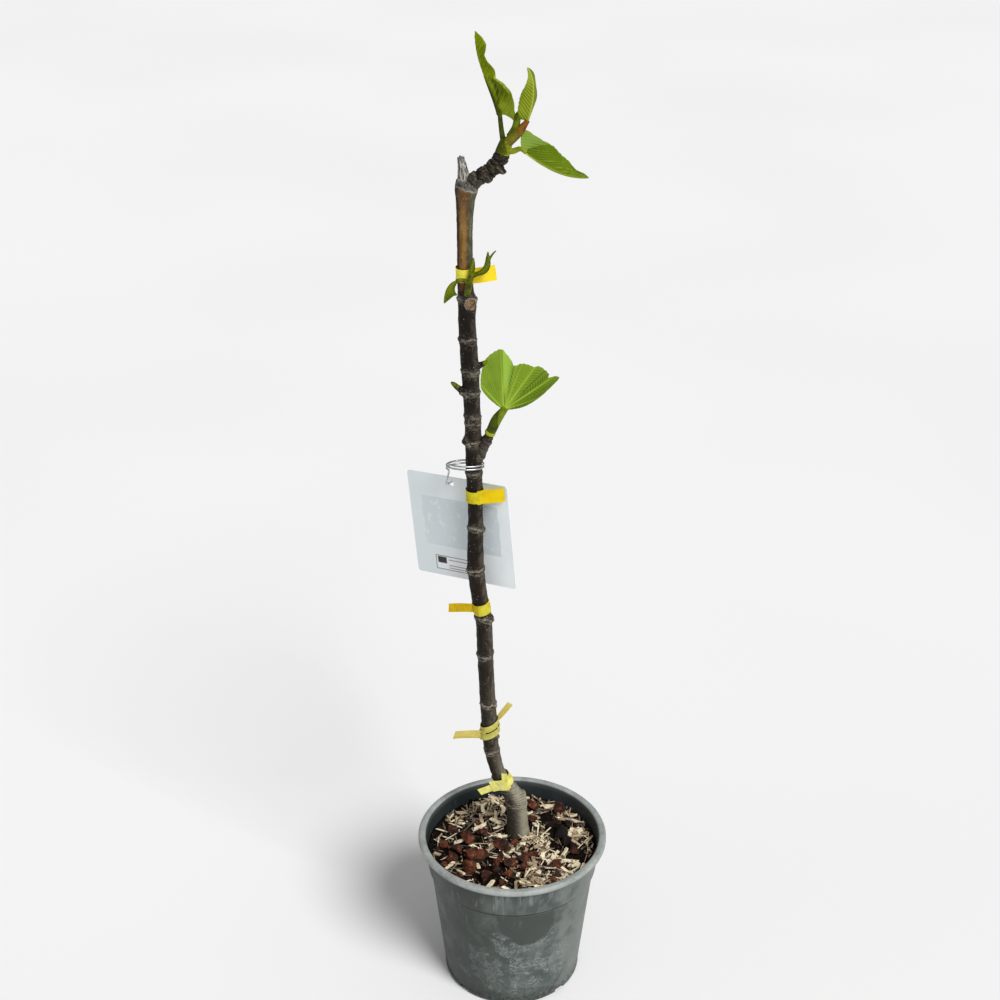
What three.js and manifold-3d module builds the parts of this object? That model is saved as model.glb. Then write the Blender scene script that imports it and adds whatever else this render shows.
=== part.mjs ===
// Young fig tree in a round nursery pot.
// Millimetres, +Z up. The origin is the centre of the pot's underside, and the front faces -Y.
// A single cut-back trunk stands in mulched compost, with three leafy shoots, five tape ties
// and a blank label card hung on a loop of wire.

import * as THREE from 'three';
import { mergeVertices } from 'three/addons/utils/BufferGeometryUtils.js';
import Module from 'manifold-3d';

const wasm = await Module();
wasm.setup();

// ---------------------------------------------------------------- driving dimensions

const GAP = 0.3;                // clearance between pieces that touch

const POT_HEIGHT = 166.5;
const POT_RIM_RADIUS = 95.4;
const POT_BASE_RADIUS = 69.3;
const POT_TAPER = 0.107;        // growth of the body's radius for each mm of height
const POT_WALL = 1.6;
const POT_FLOOR = 2.4;
const POT_SHOULDER_Z = 129;     // the step under the collar
const POT_LIP_WIDTH = 7.6;
const POT_LIP_DEPTH = 6.2;
const POT_SIDES = 48;

const COMPOST_Z = 149;          // ground level in the pot
const COMPOST_SIDES = 40;

const TRUNK_TOP_Z = 848;
const TRUNK_SIDES = 12;
const LEAF_THICKNESS = 1.0;
const LOBE_END = 0.25;          // part of a folded leaf's length that its foot's lobe grows from

const TAPE_WIDTH = 12;
const TAPE_THICKNESS = 0.9;

const CARD_WIDTH = 106;
const CARD_HEIGHT = 111;
const CARD_THICKNESS = 1.0;
const WIRE_RADIUS = 0.85;

// ---------------------------------------------------------------- small tools

const vec = (x, y, z) => new THREE.Vector3(x, y, z);
const radians = THREE.MathUtils.degToRad;

// A repeatable stream of numbers from 0 to 1.
function stream(seed) {
  let state = seed;
  return () => {
    state = (state * 16807) % 2147483647;
    return state / 2147483647;
  };
}

// Smooth value at t through knots [t, value, value, ...], for the value in the given column.
function through(knots, t, column = 1) {
  const last = knots.length - 1;
  if (t <= knots[0][0]) return knots[0][column];
  if (t >= knots[last][0]) return knots[last][column];
  let i = 0;
  while (t > knots[i + 1][0]) i += 1;
  const slope = (k) => {
    const a = knots[Math.max(k - 1, 0)];
    const b = knots[Math.min(k + 1, last)];
    return (b[column] - a[column]) / (b[0] - a[0]);
  };
  const span = knots[i + 1][0] - knots[i][0];
  const s = (t - knots[i][0]) / span;
  const s2 = s * s;
  const s3 = s2 * s;
  return (2 * s3 - 3 * s2 + 1) * knots[i][column] + (s3 - 2 * s2 + s) * span * slope(i)
    + (3 * s2 - 2 * s3) * knots[i + 1][column] + (s3 - s2) * span * slope(i + 1);
}

// The closed solid of a geometry, with its shared corners merged and its faces pointing out.
function solid(geometry) {
  geometry.deleteAttribute('normal');
  geometry.deleteAttribute('uv');
  const merged = mergeVertices(geometry, 1e-4);
  const corners = merged.attributes.position.array;
  const faces = Array.from(merged.index.array);
  const kept = [];
  let volume = 0;
  for (let i = 0; i < faces.length; i += 3) {
    const [a, b, c] = faces.slice(i, i + 3);
    if (a === b || b === c || a === c) continue;
    kept.push(a, b, c);
    const p = [a, b, c].map((k) => vec(corners[3 * k], corners[3 * k + 1], corners[3 * k + 2]));
    volume += p[0].dot(p[1].clone().cross(p[2]));
  }
  if (volume < 0) kept.reverse();
  return new wasm.Manifold(new wasm.Mesh({
    numProp: 3,
    vertProperties: Float32Array.from(corners),
    triVerts: Uint32Array.from(kept),
  }));
}

// The three.js geometry of a solid.
function geometryOf(manifold) {
  const data = manifold.getMesh();
  const geometry = new THREE.BufferGeometry();
  geometry.setAttribute('position', new THREE.BufferAttribute(data.vertProperties, 3));
  geometry.setIndex(new THREE.BufferAttribute(data.triVerts, 1));
  geometry.computeVertexNormals();
  return geometry;
}

const joined = (pieces) => pieces.reduce((whole, piece) => whole.add(piece));

function named(name, manifold, colour, roughness) {
  const material = new THREE.MeshStandardMaterial({ color: colour, roughness, metalness: 0 });
  const mesh = new THREE.Mesh(geometryOf(manifold), material);
  mesh.name = name;
  return mesh;
}

// A tapering round limb: a cylinder whose rings are moved along a path.
// place(t) gives a ring's centre, its two radius directions and its radius, for t from 0 to 1.
function limb(place, rings, sides) {
  const geometry = new THREE.CylinderGeometry(1, 1, 1, sides, rings);
  const position = geometry.attributes.position;
  for (let i = 0; i < position.count; i += 1) {
    const { centre, across, along, radius } = place(position.getY(i) + 0.5);
    const point = centre.clone()
      .addScaledVector(across, position.getX(i) * radius)
      .addScaledVector(along, -position.getZ(i) * radius);
    position.setXYZ(i, point.x, point.y, point.z);
  }
  return solid(geometry);
}

// A limb along a smooth curve through points, with its radius running through a short list.
function shoot(points, radii, rings, sides) {
  const curve = new THREE.CatmullRomCurve3(points.map((p) => vec(...p)));
  const knots = radii.map((radius, i) => [i / (radii.length - 1), radius]);
  return limb((t) => {
    const tangent = curve.getTangent(t);
    const across = vec(0, 1, 0).addScaledVector(tangent, -tangent.y).normalize();
    const along = tangent.clone().cross(across);
    return { centre: curve.getPoint(t), across, along, radius: through(knots, t) };
  }, rings, sides);
}

// ---------------------------------------------------------------- leaves

// A cubic curve's point and direction at u, from its four control points.
function bezier(p, u) {
  const v = 1 - u;
  const point = vec(0, 0, 0);
  const weights = [v * v * v, 3 * v * v * u, 3 * v * u * u, u * u * u];
  weights.forEach((w, i) => point.addScaledVector(vec(...p[i]), w));
  const direction = vec(0, 0, 0);
  const slopes = [-3 * v * v, 3 * v * v - 6 * v * u, 6 * v * u - 3 * u * u, 3 * u * u];
  slopes.forEach((w, i) => direction.addScaledVector(vec(...p[i]), w));
  return { point, direction: direction.normalize() };
}

// A point of a leaf folded along its midrib. u runs from base to tip, and v from -1 to 1 across.
// Each half leaves the midrib in its own direction, with its own outline and curl, and its lobe
// reaches back past the leaf's foot: gradually for a large bend, all at once for a small one.
function foldedPoint(leaf, u, v) {
  const { point, direction } = bezier(leaf.midrib, u);
  const half = v < 0 ? leaf.near : leaf.far;
  const reach = Math.abs(v) * through(half.outline, u);
  const side = vec(...half.side);
  side.addScaledVector(direction, -side.dot(direction)).normalize();
  const normal = direction.clone().cross(side);
  const turn = radians(half.curl) * Math.abs(v);
  const ruffle = leaf.ruffle * v * v * Math.sin(2 * Math.PI * leaf.waves * u);
  const back = (half.lobe ?? 0) * Math.abs(v) ** (half.bend ?? 1) * Math.max(0, 1 - u / LOBE_END);
  return point
    .addScaledVector(direction, -back)
    .addScaledVector(side, reach * Math.cos(turn))
    .addScaledVector(normal, reach * Math.sin(turn) + ruffle);
}

// A point of a lobed leaf that fans out from its stalk. u runs round the outline, and v outwards.
function fannedPoint(leaf, u, v) {
  const angle = THREE.MathUtils.lerp(leaf.outline[0][0], leaf.outline.at(-1)[0], u);
  const reach = v * through(leaf.outline, angle);
  const cup = leaf.cup * v * v + v * through(leaf.pleats, angle);
  const x = vec(...leaf.right);
  const y = vec(...leaf.up);
  return vec(...leaf.base)
    .addScaledVector(x, reach * Math.cos(radians(angle)))
    .addScaledVector(y, reach * Math.sin(radians(angle)))
    .addScaledVector(x.cross(y), cup);
}

// A thin closed blade whose middle surface is at(u, v): a flat box with its corners moved.
function blade(at, long, wide, from = 0) {
  const geometry = new THREE.BoxGeometry(1, 1, 1, long, wide, 1);
  const position = geometry.attributes.position;
  const step = 0.02;
  for (let i = 0; i < position.count; i += 1) {
    const u = position.getX(i) + 0.5;
    const v = from < 0 ? 2 * position.getY(i) : THREE.MathUtils.lerp(from, 1, position.getY(i) + 0.5);
    const alongU = at(Math.min(u + step, 1), v).sub(at(Math.max(u - step, 0), v));
    const alongV = at(u, Math.min(v + step, 1)).sub(at(u, Math.max(v - step, from)));
    const normal = alongU.cross(alongV).normalize();
    const point = at(u, v).addScaledVector(normal, position.getZ(i) * LEAF_THICKNESS);
    position.setXYZ(i, point.x, point.y, point.z);
  }
  return solid(geometry);
}

function foldedBlade(leaf, long = 10, wide = 4) {
  return blade((u, v) => foldedPoint(leaf, u, v), long, wide, -1);
}

function fannedBlade(leaf, round = 34, out = 4) {
  return blade((u, v) => fannedPoint(leaf, u, v), round, out, 0.05);
}

// ---------------------------------------------------------------- pot

// Outer radius of the pot's plain body below the shoulder.
const bodyRadius = (z) => POT_BASE_RADIUS + POT_TAPER * z;

const COLLAR_FOOT_RADIUS = bodyRadius(POT_SHOULDER_Z) + 2.4;
const COLLAR_TOP_RADIUS = POT_RIM_RADIUS - POT_LIP_WIDTH + 0.9;
const LIP_UNDER_Z = POT_HEIGHT - POT_LIP_DEPTH;
const FLARE_FOOT_Z = POT_SHOULDER_Z - 18;

// The inside wall, from the floor to the lip, moved inwards by a clearance.
function insideWall(clearance) {
  return [
    [bodyRadius(POT_FLOOR) - POT_WALL, POT_FLOOR],
    [bodyRadius(FLARE_FOOT_Z) - POT_WALL, FLARE_FOOT_Z],
    [COLLAR_FOOT_RADIUS - 2 - POT_WALL, POT_SHOULDER_Z - 1],
    [COLLAR_FOOT_RADIUS - POT_WALL, POT_SHOULDER_Z + 1.6],
    [COLLAR_TOP_RADIUS - POT_WALL, LIP_UNDER_Z],
  ].map(([radius, z]) => [radius - clearance, z]);
}

function insideRadius(z, clearance) {
  const wall = insideWall(clearance);
  const i = wall.findIndex(([, height]) => height >= z);
  const [r0, z0] = wall[i - 1];
  const [r1, z1] = wall[i];
  return r0 + (r1 - r0) * (z - z0) / (z1 - z0);
}

function turned(profile, sides) {
  const points = profile.map(([radius, z]) => new THREE.Vector2(radius, z));
  return solid(new THREE.LatheGeometry(points, sides).rotateX(Math.PI / 2));
}

function potShell() {
  const lip = POT_RIM_RADIUS;
  const outside = [
    [0, 0],
    [POT_BASE_RADIUS - 2, 0],
    [POT_BASE_RADIUS + 0.2, 2],
    [bodyRadius(FLARE_FOOT_Z), FLARE_FOOT_Z],
    [COLLAR_FOOT_RADIUS - 2.2, POT_SHOULDER_Z - 3],
    [COLLAR_FOOT_RADIUS - 1.5, POT_SHOULDER_Z],
    [COLLAR_FOOT_RADIUS, POT_SHOULDER_Z + 0.6],
    [COLLAR_TOP_RADIUS, LIP_UNDER_Z],
    [lip - 1.4, LIP_UNDER_Z],
    [lip, LIP_UNDER_Z + 1.4],
    [lip, POT_HEIGHT - 2],
    [lip - 1.8, POT_HEIGHT],
    [lip - POT_LIP_WIDTH + 1.6, POT_HEIGHT],
    [lip - POT_LIP_WIDTH, POT_HEIGHT - 1.8],
  ];
  const inside = insideWall(0).reverse();
  return turned([...outside, ...inside, [0, POT_FLOOR]], POT_SIDES);
}

// A drain slot through the bottom corner of the wall.
function drainSlot(angle) {
  const width = 13;
  const depth = 20;
  const height = 5;
  const slot = new THREE.BoxGeometry(depth, width, 2 * height);
  slot.translate(POT_BASE_RADIUS, 0, 0).rotateZ(angle);
  return solid(slot);
}

function pot() {
  const slots = 8;
  let shell = potShell();
  for (let i = 0; i < slots; i += 1) shell = shell.subtract(drainSlot(2 * Math.PI * i / slots));
  return shell;
}

// ---------------------------------------------------------------- trunk

// The trunk's centre line and radius: [height, x, y, radius]. It leans left and kinks at nodes.
const TRUNK = [
  [COMPOST_Z + GAP, 5.8, 20.5, 12.8],
  [160, 5.6, 20, 11.3],
  [178, 5.0, 19.5, 10.4],
  [192, 3.4, 19.2, 10.4],
  [204, -1.6, 18.8, 9.8],
  [217, -8.8, 18.2, 8.4],
  [230, -14.8, 17.5, 7.5],
  [244, -18.4, 16.8, 7.5],
  [263, -21.4, 16, 7.7],
  [293, -23.2, 14.8, 7.7],
  [353, -26, 12.5, 7.7],
  [414, -28.2, 10, 7.8],
  [434, -31.4, 9.2, 7.8],
  [471, -35.2, 8, 7.9],
  [532, -35.2, 6.8, 6.9],
  [570, -36, 6.4, 7.4],
  [634, -37.4, 5.8, 7.4],
  [673, -39, 5.4, 7.9],
  [721, -41.4, 5.2, 7.7],
  [738, -41, 5.2, 8.1],
  [750, -42.3, 5.2, 7.1],
  [803, -42.6, 5.5, 6.8],
  [829, -41.8, 5.8, 8.1],
  [841, -40.8, 6, 9.9],
  [TRUNK_TOP_Z, -41.8, 6, 8],
];

// Leaf nodes: [height, swelling]. Each is a raised ring round the trunk.
const NODES = [
  [190, 0.5], [210, 0.4], [257, 0.6], [280, 0.9], [314, 0.9], [374, 0.9], [415, 1.2], [470, 0.9],
  [515, 1.0], [572, 0.6], [606, 1.1], [622, 0.5], [629.5, 0.6], [653, 0.9], [674, 0.7],
  [704, 0.6], [742, 1.2],
];
const NODE_SPREAD = 2.6;
const NODE_STATIONS = [-3.8, 0, 3.8];
const STATION_STEP = 20;

function trunkRing(z, growth = 0) {
  const ringAt = ([height, size]) => size * Math.exp(-(((z - height) / NODE_SPREAD) ** 2));
  const swelling = NODES.reduce((sum, node) => sum + ringAt(node), 0);
  return {
    centre: vec(through(TRUNK, z, 1), through(TRUNK, z, 2), z),
    across: vec(1, 0, 0),
    along: vec(0, 1, 0),
    radius: through(TRUNK, z, 3) + swelling + growth,
  };
}

// Heights at which the trunk has a ring: the path's own stations, the nodes and steps between.
function trunkLevels() {
  const wanted = [
    ...TRUNK.map(([z]) => z),
    ...NODES.flatMap(([z]) => NODE_STATIONS.map((offset) => z + offset)),
  ].sort((a, b) => a - b);
  const levels = [];
  for (const z of wanted) {
    const last = levels.at(-1);
    if (last !== undefined && z - last < 1.2) continue;
    const gaps = last === undefined ? 0 : Math.ceil((z - last) / STATION_STEP) - 1;
    for (let k = 1; k <= gaps; k += 1) levels.push(last + (z - last) * k / (gaps + 1));
    levels.push(z);
  }
  levels[levels.length - 1] = TRUNK_TOP_Z;
  return levels;
}

const LEVELS = trunkLevels();

function trunkStem(growth = 0) {
  const rings = LEVELS.length - 1;
  return limb((t) => trunkRing(LEVELS[Math.round(t * rings)], growth), rings, TRUNK_SIDES);
}

// The stump of the old leader beside the foot, cut off where the present leader takes over.
const OLD_STUMP = [[6.2, 19.6, 182], [6.6, 19.6, 192], [7.2, 19.6, 201.5]];
const oldStump = (growth) => shoot(OLD_STUMP, [8.8, 8.2, 6.6].map((r) => r + growth), 3, 10);

// The dead splinter above the top node.
const DEAD_TIP = [[-43, 6, 844], [-43.2, 6, 851], [-44.2, 6, 860], [-45.5, 6, 868.6]];
const deadTip = (growth) => shoot(DEAD_TIP, [6.2, 5.3, 3.9, 2.5].map((r) => r + growth), 5, 7);

// Buds and knobs at the nodes: [foot, tip, foot radius].
const BUDS = [
  [[-44, 4.6, 652], [-55, 2, 662.5], 3],
  [[-34, 3.6, 677], [-24.6, 2, 683], 3],
  [[-24.5, 5.5, 411], [-19.4, 3.6, 419.5], 3.2],
  [[-40, 3, 604], [-46, -1.5, 607], 4],
  [[-31, 3.6, 513], [-27.6, -0.8, 516.5], 3.4],
  [[-25.5, 8, 371], [-24.6, 3, 374], 3],
  [[-22, 11, 310], [-17, 9, 315], 3.4],
  [[-17, 11, 275.5], [-13.6, 8, 278], 3],
  [[-41, 1.5, 740], [-39.4, -3.4, 739], 5.4],
];

function bud([foot, tip, radius], growth) {
  return shoot([foot, tip], [radius, radius * 0.85, radius * 0.45].map((r) => r + growth), 3, 7);
}

// The whole trunk, or a slightly fatter one that its neighbours are cut by.
function trunk(growth = 0) {
  const buds = BUDS.map((row) => bud(row, growth));
  return joined([trunkStem(growth), oldStump(growth), deadTip(growth), ...buds]);
}

const trunkRoom = trunk(GAP);

// ---------------------------------------------------------------- boughs

// The ringed spur at the top node.
const TOP_SPUR = [
  [-38, 5.6, 845], [-30.5, 5, 850], [-21.6, 4.4, 855.6], [-14.4, 3.2, 863.6], [-10.4, 2, 872.4],
];
const TOP_SPUR_RADII = [6.6, 7.2, 6.2, 7.6, 6.4, 7.2, 6.2, 6.8, 6.2];

// The short smooth spur half-way up.
const MID_SPUR = [[-33, 5, 586], [-28.8, 3, 594], [-25.6, 1, 603.5], [-22, -1, 613.6]];
const MID_SPUR_RADII = [5.6, 5, 4.4, 4.3, 4.8, 4.2];

function topBough() {
  const spurBud = shoot([[-13.6, 0.5, 859.4], [-7.2, -2.4, 858.6]], [3, 2.8, 1.2], 3, 7);
  return shoot(TOP_SPUR, TOP_SPUR_RADII, 16, 12).add(spurBud).subtract(trunkRoom);
}

const midBough = () => shoot(MID_SPUR, MID_SPUR_RADII, 8, 10).subtract(trunkRoom);

// The point a little past the tip of a bough, where its green stem starts.
function beyond(path, clearance) {
  const tip = vec(...path.at(-1));
  const curve = new THREE.CatmullRomCurve3(path.map((p) => vec(...p)));
  return tip.addScaledVector(curve.getTangent(1), clearance).toArray();
}

// The room that a bough takes up, which the leaves at its tip are cut by.
const boughRoom = (path, radii, rings, sides) =>
  shoot([...path.slice(0, -1), beyond(path, GAP)], radii.map((r) => r + GAP), rings, sides);

// ---------------------------------------------------------------- foliage at the top

const LEFT_LEAF = {
  midrib: [[-13.4, 4, 904.5], [-20, 6, 927], [-34.6, 11, 945], [-33, 16, 970.4]],
  near: {
    side: [0.95, -0.3, 0.05],
    curl: -12,
    lobe: 10,
    bend: 2,
    outline: [
      [0, 14.5], [0.07, 14.6], [0.14, 16.5], [0.2, 18], [0.28, 16.6], [0.34, 14.2],
      [0.385, 11.4], [0.41, 9.8], [0.46, 10.7], [0.53, 10.8], [0.6, 8.8], [0.66, 7.6],
      [0.72, 7.1], [0.77, 8.5], [0.84, 9.6], [0.9, 8], [0.945, 5.7], [1, 0.8],
    ],
  },
  far: {
    side: [0.7, 0.7, 0.05],
    curl: 14,
    lobe: 8,
    bend: 2,
    outline: [[0, 5], [0.12, 12], [0.28, 13], [0.45, 8], [0.65, 8], [0.85, 6], [1, 0.8]],
  },
  ruffle: 1.2,
  waves: 2.5,
};

const CENTRE_LEAF = {
  midrib: [[10.4, -3.4, 901], [14.4, -6, 914], [18.6, -9, 934], [10, -13, 947.5]],
  near: {
    side: [-1, -0.1, 0],
    curl: -10,
    outline: [[0, 6], [0.12, 9.8], [0.35, 10.6], [0.55, 9.4], [0.7, 6], [0.85, 2.6], [1, 0.7]],
  },
  far: {
    side: [0.4, 0.9, 0],
    curl: 10,
    outline: [[0, 4], [0.2, 9], [0.45, 10], [0.7, 8], [0.9, 3.6], [1, 0.7]],
  },
  ruffle: 0.7,
  waves: 2,
};

const RIGHT_LEAF = {
  midrib: [[8.6, -5.8, 875], [24, -11, 864], [41, -17, 855.4], [60.9, -26, 859.6]],
  near: {
    side: [0.18, -0.2, 0.96],
    curl: -8,
    outline: [
      [0, 4], [0.06, 9], [0.148, 15], [0.283, 18.4], [0.465, 17], [0.56, 15.2], [0.67, 12.4],
      [0.772, 8.6], [0.842, 6.4], [0.91, 5.4], [0.96, 3.6], [1, 0.8],
    ],
  },
  far: {
    side: [-0.45, 0.42, 0.8],
    curl: 8,
    lobe: 14,
    bend: 0.45,
    outline: [
      [0, 14], [0.063, 15.6], [0.122, 15.9], [0.2, 17], [0.298, 17.4], [0.45, 15],
      [0.7, 9], [0.9, 4.4], [1, 0.8],
    ],
  },
  ruffle: 0.8,
  waves: 2.5,
};

function topFoliage() {
  return joined([
    shoot([beyond(TOP_SPUR, GAP), [-8.4, 1.6, 878.4], [-6.6, 1, 884.6]], [6.4, 6, 5], 3, 10),
    shoot([[-9.2, 1.2, 880], [-11.3, 2, 893], [-12.9, 4, 908]], [2.6, 2.1, 1.9], 4, 7),
    shoot([[-7, 0.6, 881], [3.4, -2, 892], [10.6, -3.4, 901.6]], [4.2, 3.8, 1.9], 4, 8),
    shoot([[-4, 0, 887], [0.4, -1, 895], [2.2, -2, 906.5]], [3.4, 3.2, 2.6], 3, 7),
    shoot([[-9, 1, 875.6], [-2, -1, 875], [4.8, -4, 877.8], [9.6, -6, 875]], [3, 2.6, 2, 1.7], 5, 7),
    foldedBlade(LEFT_LEAF, 22, 4),
    foldedBlade(CENTRE_LEAF),
    foldedBlade(RIGHT_LEAF, 16, 4),
  ]).subtract(boughRoom(TOP_SPUR, TOP_SPUR_RADII, 16, 12));
}

// ---------------------------------------------------------------- foliage at the upper node

// A small young leaf: its midrib's control points, then each half's direction and outline.
const young = (midrib, [nearSide, nearOutline], [farSide, farOutline]) => ({
  midrib,
  near: { side: nearSide, curl: 0, outline: nearOutline },
  far: { side: farSide, curl: 0, outline: farOutline },
  ruffle: 0.2,
  waves: 1.5,
});

const SLIM = [[0, 1.2], [0.3, 2.6], [0.7, 2.2], [1, 0.6]];

const SPIKE_LEAF = young(
  [[-36.6, -6.4, 765], [-36, -6.6, 771], [-35.4, -6.8, 777], [-35, -7, 783.4]],
  [[-1, -0.2, 0], SLIM],
  [[0.7, 0.8, 0], SLIM],
);
const HOOKED_LEAF = young(
  [[-33.6, -7, 768.4], [-24, -9, 769], [-20.8, -11, 777], [-22.6, -12.4, 790.6]],
  [[-0.3, 0, 1], [[0, 2.2], [0.25, 3.2], [0.6, 3.2], [0.85, 2.4], [1, 0.6]]],
  [[0.3, 0.35, -1], [[0, 1.4], [0.3, 2], [0.7, 2], [1, 0.5]]],
);
const HOOK_POINT = young(
  [[-22, -11, 781], [-20.4, -11.6, 785.6], [-18.4, -12.2, 788.6], [-15.8, -13, 791.6]],
  [[-0.7, 0, 0.7], [[0, 1.2], [0.5, 1.2], [1, 0.6]]],
  [[0, 1, 0], [[0, 1.2], [0.5, 1.2], [1, 0.6]]],
);
const DROOPING_LEAF = young(
  [[-48, -9, 763.4], [-55, -11, 763.4], [-60.5, -13, 757], [-60.6, -14, 744.6]],
  [[1, 0, 0.1], [[0, 2.4], [0.3, 4.6], [0.48, 7], [0.62, 10], [0.74, 7.4], [0.88, 4.6], [1, 0.6]]],
  [[0.5, 0.85, 0], [[0, 2], [0.4, 5], [0.65, 6], [0.85, 4], [1, 0.6]]],
);

function upperFoliage() {
  const stem = [[-40.9, -0.6, 748], [-40.1, -4.4, 753], [-38.7, -6.2, 761], [-36.2, -6.6, 769]];
  return joined([
    shoot(stem, [3.1, 2.8, 2.5], 5, 8),
    shoot([[-39.2, -6, 761], [-45, -7.6, 763.2], [-50, -9.2, 763.2]], [2, 1.9, 1.7], 3, 7),
    shoot([[-37, -6.5, 766.6], [-32, -7.4, 768.8]], [2.2, 1.9], 2, 7),
    foldedBlade(SPIKE_LEAF, 5),
    foldedBlade(HOOKED_LEAF, 8),
    foldedBlade(HOOK_POINT, 4),
    foldedBlade(DROOPING_LEAF, 8),
  ]).subtract(trunkRoom);
}

// ---------------------------------------------------------------- foliage at the middle spur

const LEAF_LEAN = radians(42);

const FAN_LEAF = {
  base: [-9.2, -4, 639.4],
  right: [1, 0, 0],
  up: [0, Math.sin(LEAF_LEAN), Math.cos(LEAF_LEAN)],
  outline: [
    [-8, 9], [0, 17], [11, 28], [22, 43.5], [28, 55.5], [31, 54.5], [34, 48.5], [38, 51],
    [44, 51.2], [50, 49.8], [54, 46], [60, 45.4], [69, 44.2], [76.5, 41], [81, 45.2],
    [87, 50.5], [92, 54.4], [101, 51.6], [110, 47.4], [120, 39.2], [130, 31.7], [138, 26.5],
    [146, 17], [154, 8],
  ],
  pleats: [[-8, 2], [28, 5], [46, -1], [62, 2.6], [80, -2], [100, 2], [124, -1], [154, 3]],
  cup: 5,
};

function midFoliage() {
  const stem = [beyond(MID_SPUR, GAP), [-19.1, -2.2, 620.6], [-14.9, -3.2, 631], [-9.1, -4, 641.8]];
  return joined([
    shoot(stem, [4.2, 4.5, 4.9, 4], 5, 10),
    fannedBlade(FAN_LEAF),
  ]).subtract(trunkRoom);
}

// ---------------------------------------------------------------- tape ties

// A loop of tape lying flat round the origin.
function tapeRing(radius, band) {
  const shape = new THREE.Shape().absarc(0, 0, radius + TAPE_THICKNESS, 0, 2 * Math.PI, false);
  shape.holes.push(new THREE.Path().absarc(0, 0, radius, 0, 2 * Math.PI, true));
  const settings = { depth: band, bevelEnabled: false, curveSegments: 11 };
  return new THREE.ExtrudeGeometry(shape, settings).translate(0, 0, -band / 2);
}

// A flat tail of tape. It leaves the loop at one plan angle and runs off in another, in degrees,
// and its start sits above the loop's middle by a lift.
function tapeTail({ leaves, runs, length, rise = 0, lift = 0, width = TAPE_WIDTH - 0.6 }, radius) {
  const middle = radius + TAPE_THICKNESS / 2;
  return new THREE.BoxGeometry(length, 1.6 * TAPE_THICKNESS, width)
    .translate(length / 2, 0, 0)
    .rotateY(-radians(rise))
    .rotateZ(radians(runs))
    .translate(middle * Math.cos(radians(leaves)), middle * Math.sin(radians(leaves)), lift);
}

// Loops of tape on the trunk, from the top down: height, the loop's rise towards the back and
// its fall towards the right in degrees, and tails.
const TIES = [
  {
    z: 765,
    tilt: [3, -2],
    tails: [{ leaves: -35, runs: -3, length: 21, rise: 7.5, lift: -1.1, width: 14 }],
  },
  {
    z: 549,
    tilt: [2, -1],
    tails: [{ leaves: -35, runs: -2, length: 21, rise: 5, lift: -0.7, width: 14 }],
  },
  {
    z: 427,
    tilt: [2, 0],
    tails: [{ leaves: -150, runs: 182, length: 22.8, rise: 12.3, lift: 2.5, width: 9.5 }],
  },
  {
    z: 284,
    tilt: [0, -22],
    band: 15,
    tails: [
      { leaves: -150, runs: 176, length: 28.8, rise: 20.3, lift: -1.6, width: 9.6 },
      { leaves: 60, runs: 0, length: 22.2, rise: 41.3, lift: -1.7, width: 6 },
    ],
  },
  {
    z: 219,
    tilt: [0, 10],
    tails: [
      { leaves: -75, runs: -6, length: 15, rise: 66, width: 6 },
      { leaves: -95, runs: 178, length: 10.5, rise: 6, width: 13 },
      { leaves: -95, runs: -4, length: 6, rise: -8, width: 12 },
      { leaves: -100, runs: 183, length: 23, rise: -3, width: 8 },
    ],
  },
];

// A turn from the plan to a section square to the trunk's run at a height.
function squareToTrunk(z) {
  const half = TAPE_WIDTH / 2;
  const up = trunkRing(z + half).centre.sub(trunkRing(z - half).centre).normalize();
  const side = vec(1, 0, 0).addScaledVector(up, -up.x).normalize();
  return new THREE.Matrix4().makeBasis(side, up.clone().cross(side), up);
}

// A slant of the loop that keeps it snug: points only move up or down.
function slanted([rise, fall]) {
  return new THREE.Matrix4().makeShear(0, -Math.tan(radians(fall)), 0, Math.tan(radians(rise)), 0, 0);
}

function tie({ z, tilt, tails, band = TAPE_WIDTH }) {
  const spans = [-1, -0.5, 0, 0.5, 1].map((part) => trunkRing(z + part * band / 2).radius);
  const placed = new THREE.Matrix4().makeTranslation(trunkRing(z).centre)
    .multiply(squareToTrunk(z))
    .multiply(slanted(tilt));
  const radius = Math.max(...spans) + GAP;
  const tapes = [tapeRing(radius, band), ...tails.map((tail) => tapeTail(tail, radius))];
  return joined(tapes.map((tape) => solid(tape.applyMatrix4(placed)))).subtract(trunkRoom);
}

// ---------------------------------------------------------------- label card and its wire

const CARD_CENTRE = [-48.5, 28.6, 500];
const CARD_YAW = radians(-27);
const CARD_LEAN = radians(3.5);
const CARD_ROLL = radians(3.4);
const CARD_HOLE_X = -6;
const CARD_HOLE_DROP = 7;
const CARD_HOLE_RADIUS = 2.6;

// From the card's own plane, with x across it and y up it, to its place behind the trunk.
function cardPlace() {
  return new THREE.Matrix4().makeTranslation(...CARD_CENTRE)
    .multiply(new THREE.Matrix4().makeRotationZ(CARD_YAW))
    .multiply(new THREE.Matrix4().makeRotationX(Math.PI / 2 + CARD_LEAN))
    .multiply(new THREE.Matrix4().makeRotationZ(CARD_ROLL));
}

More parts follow.
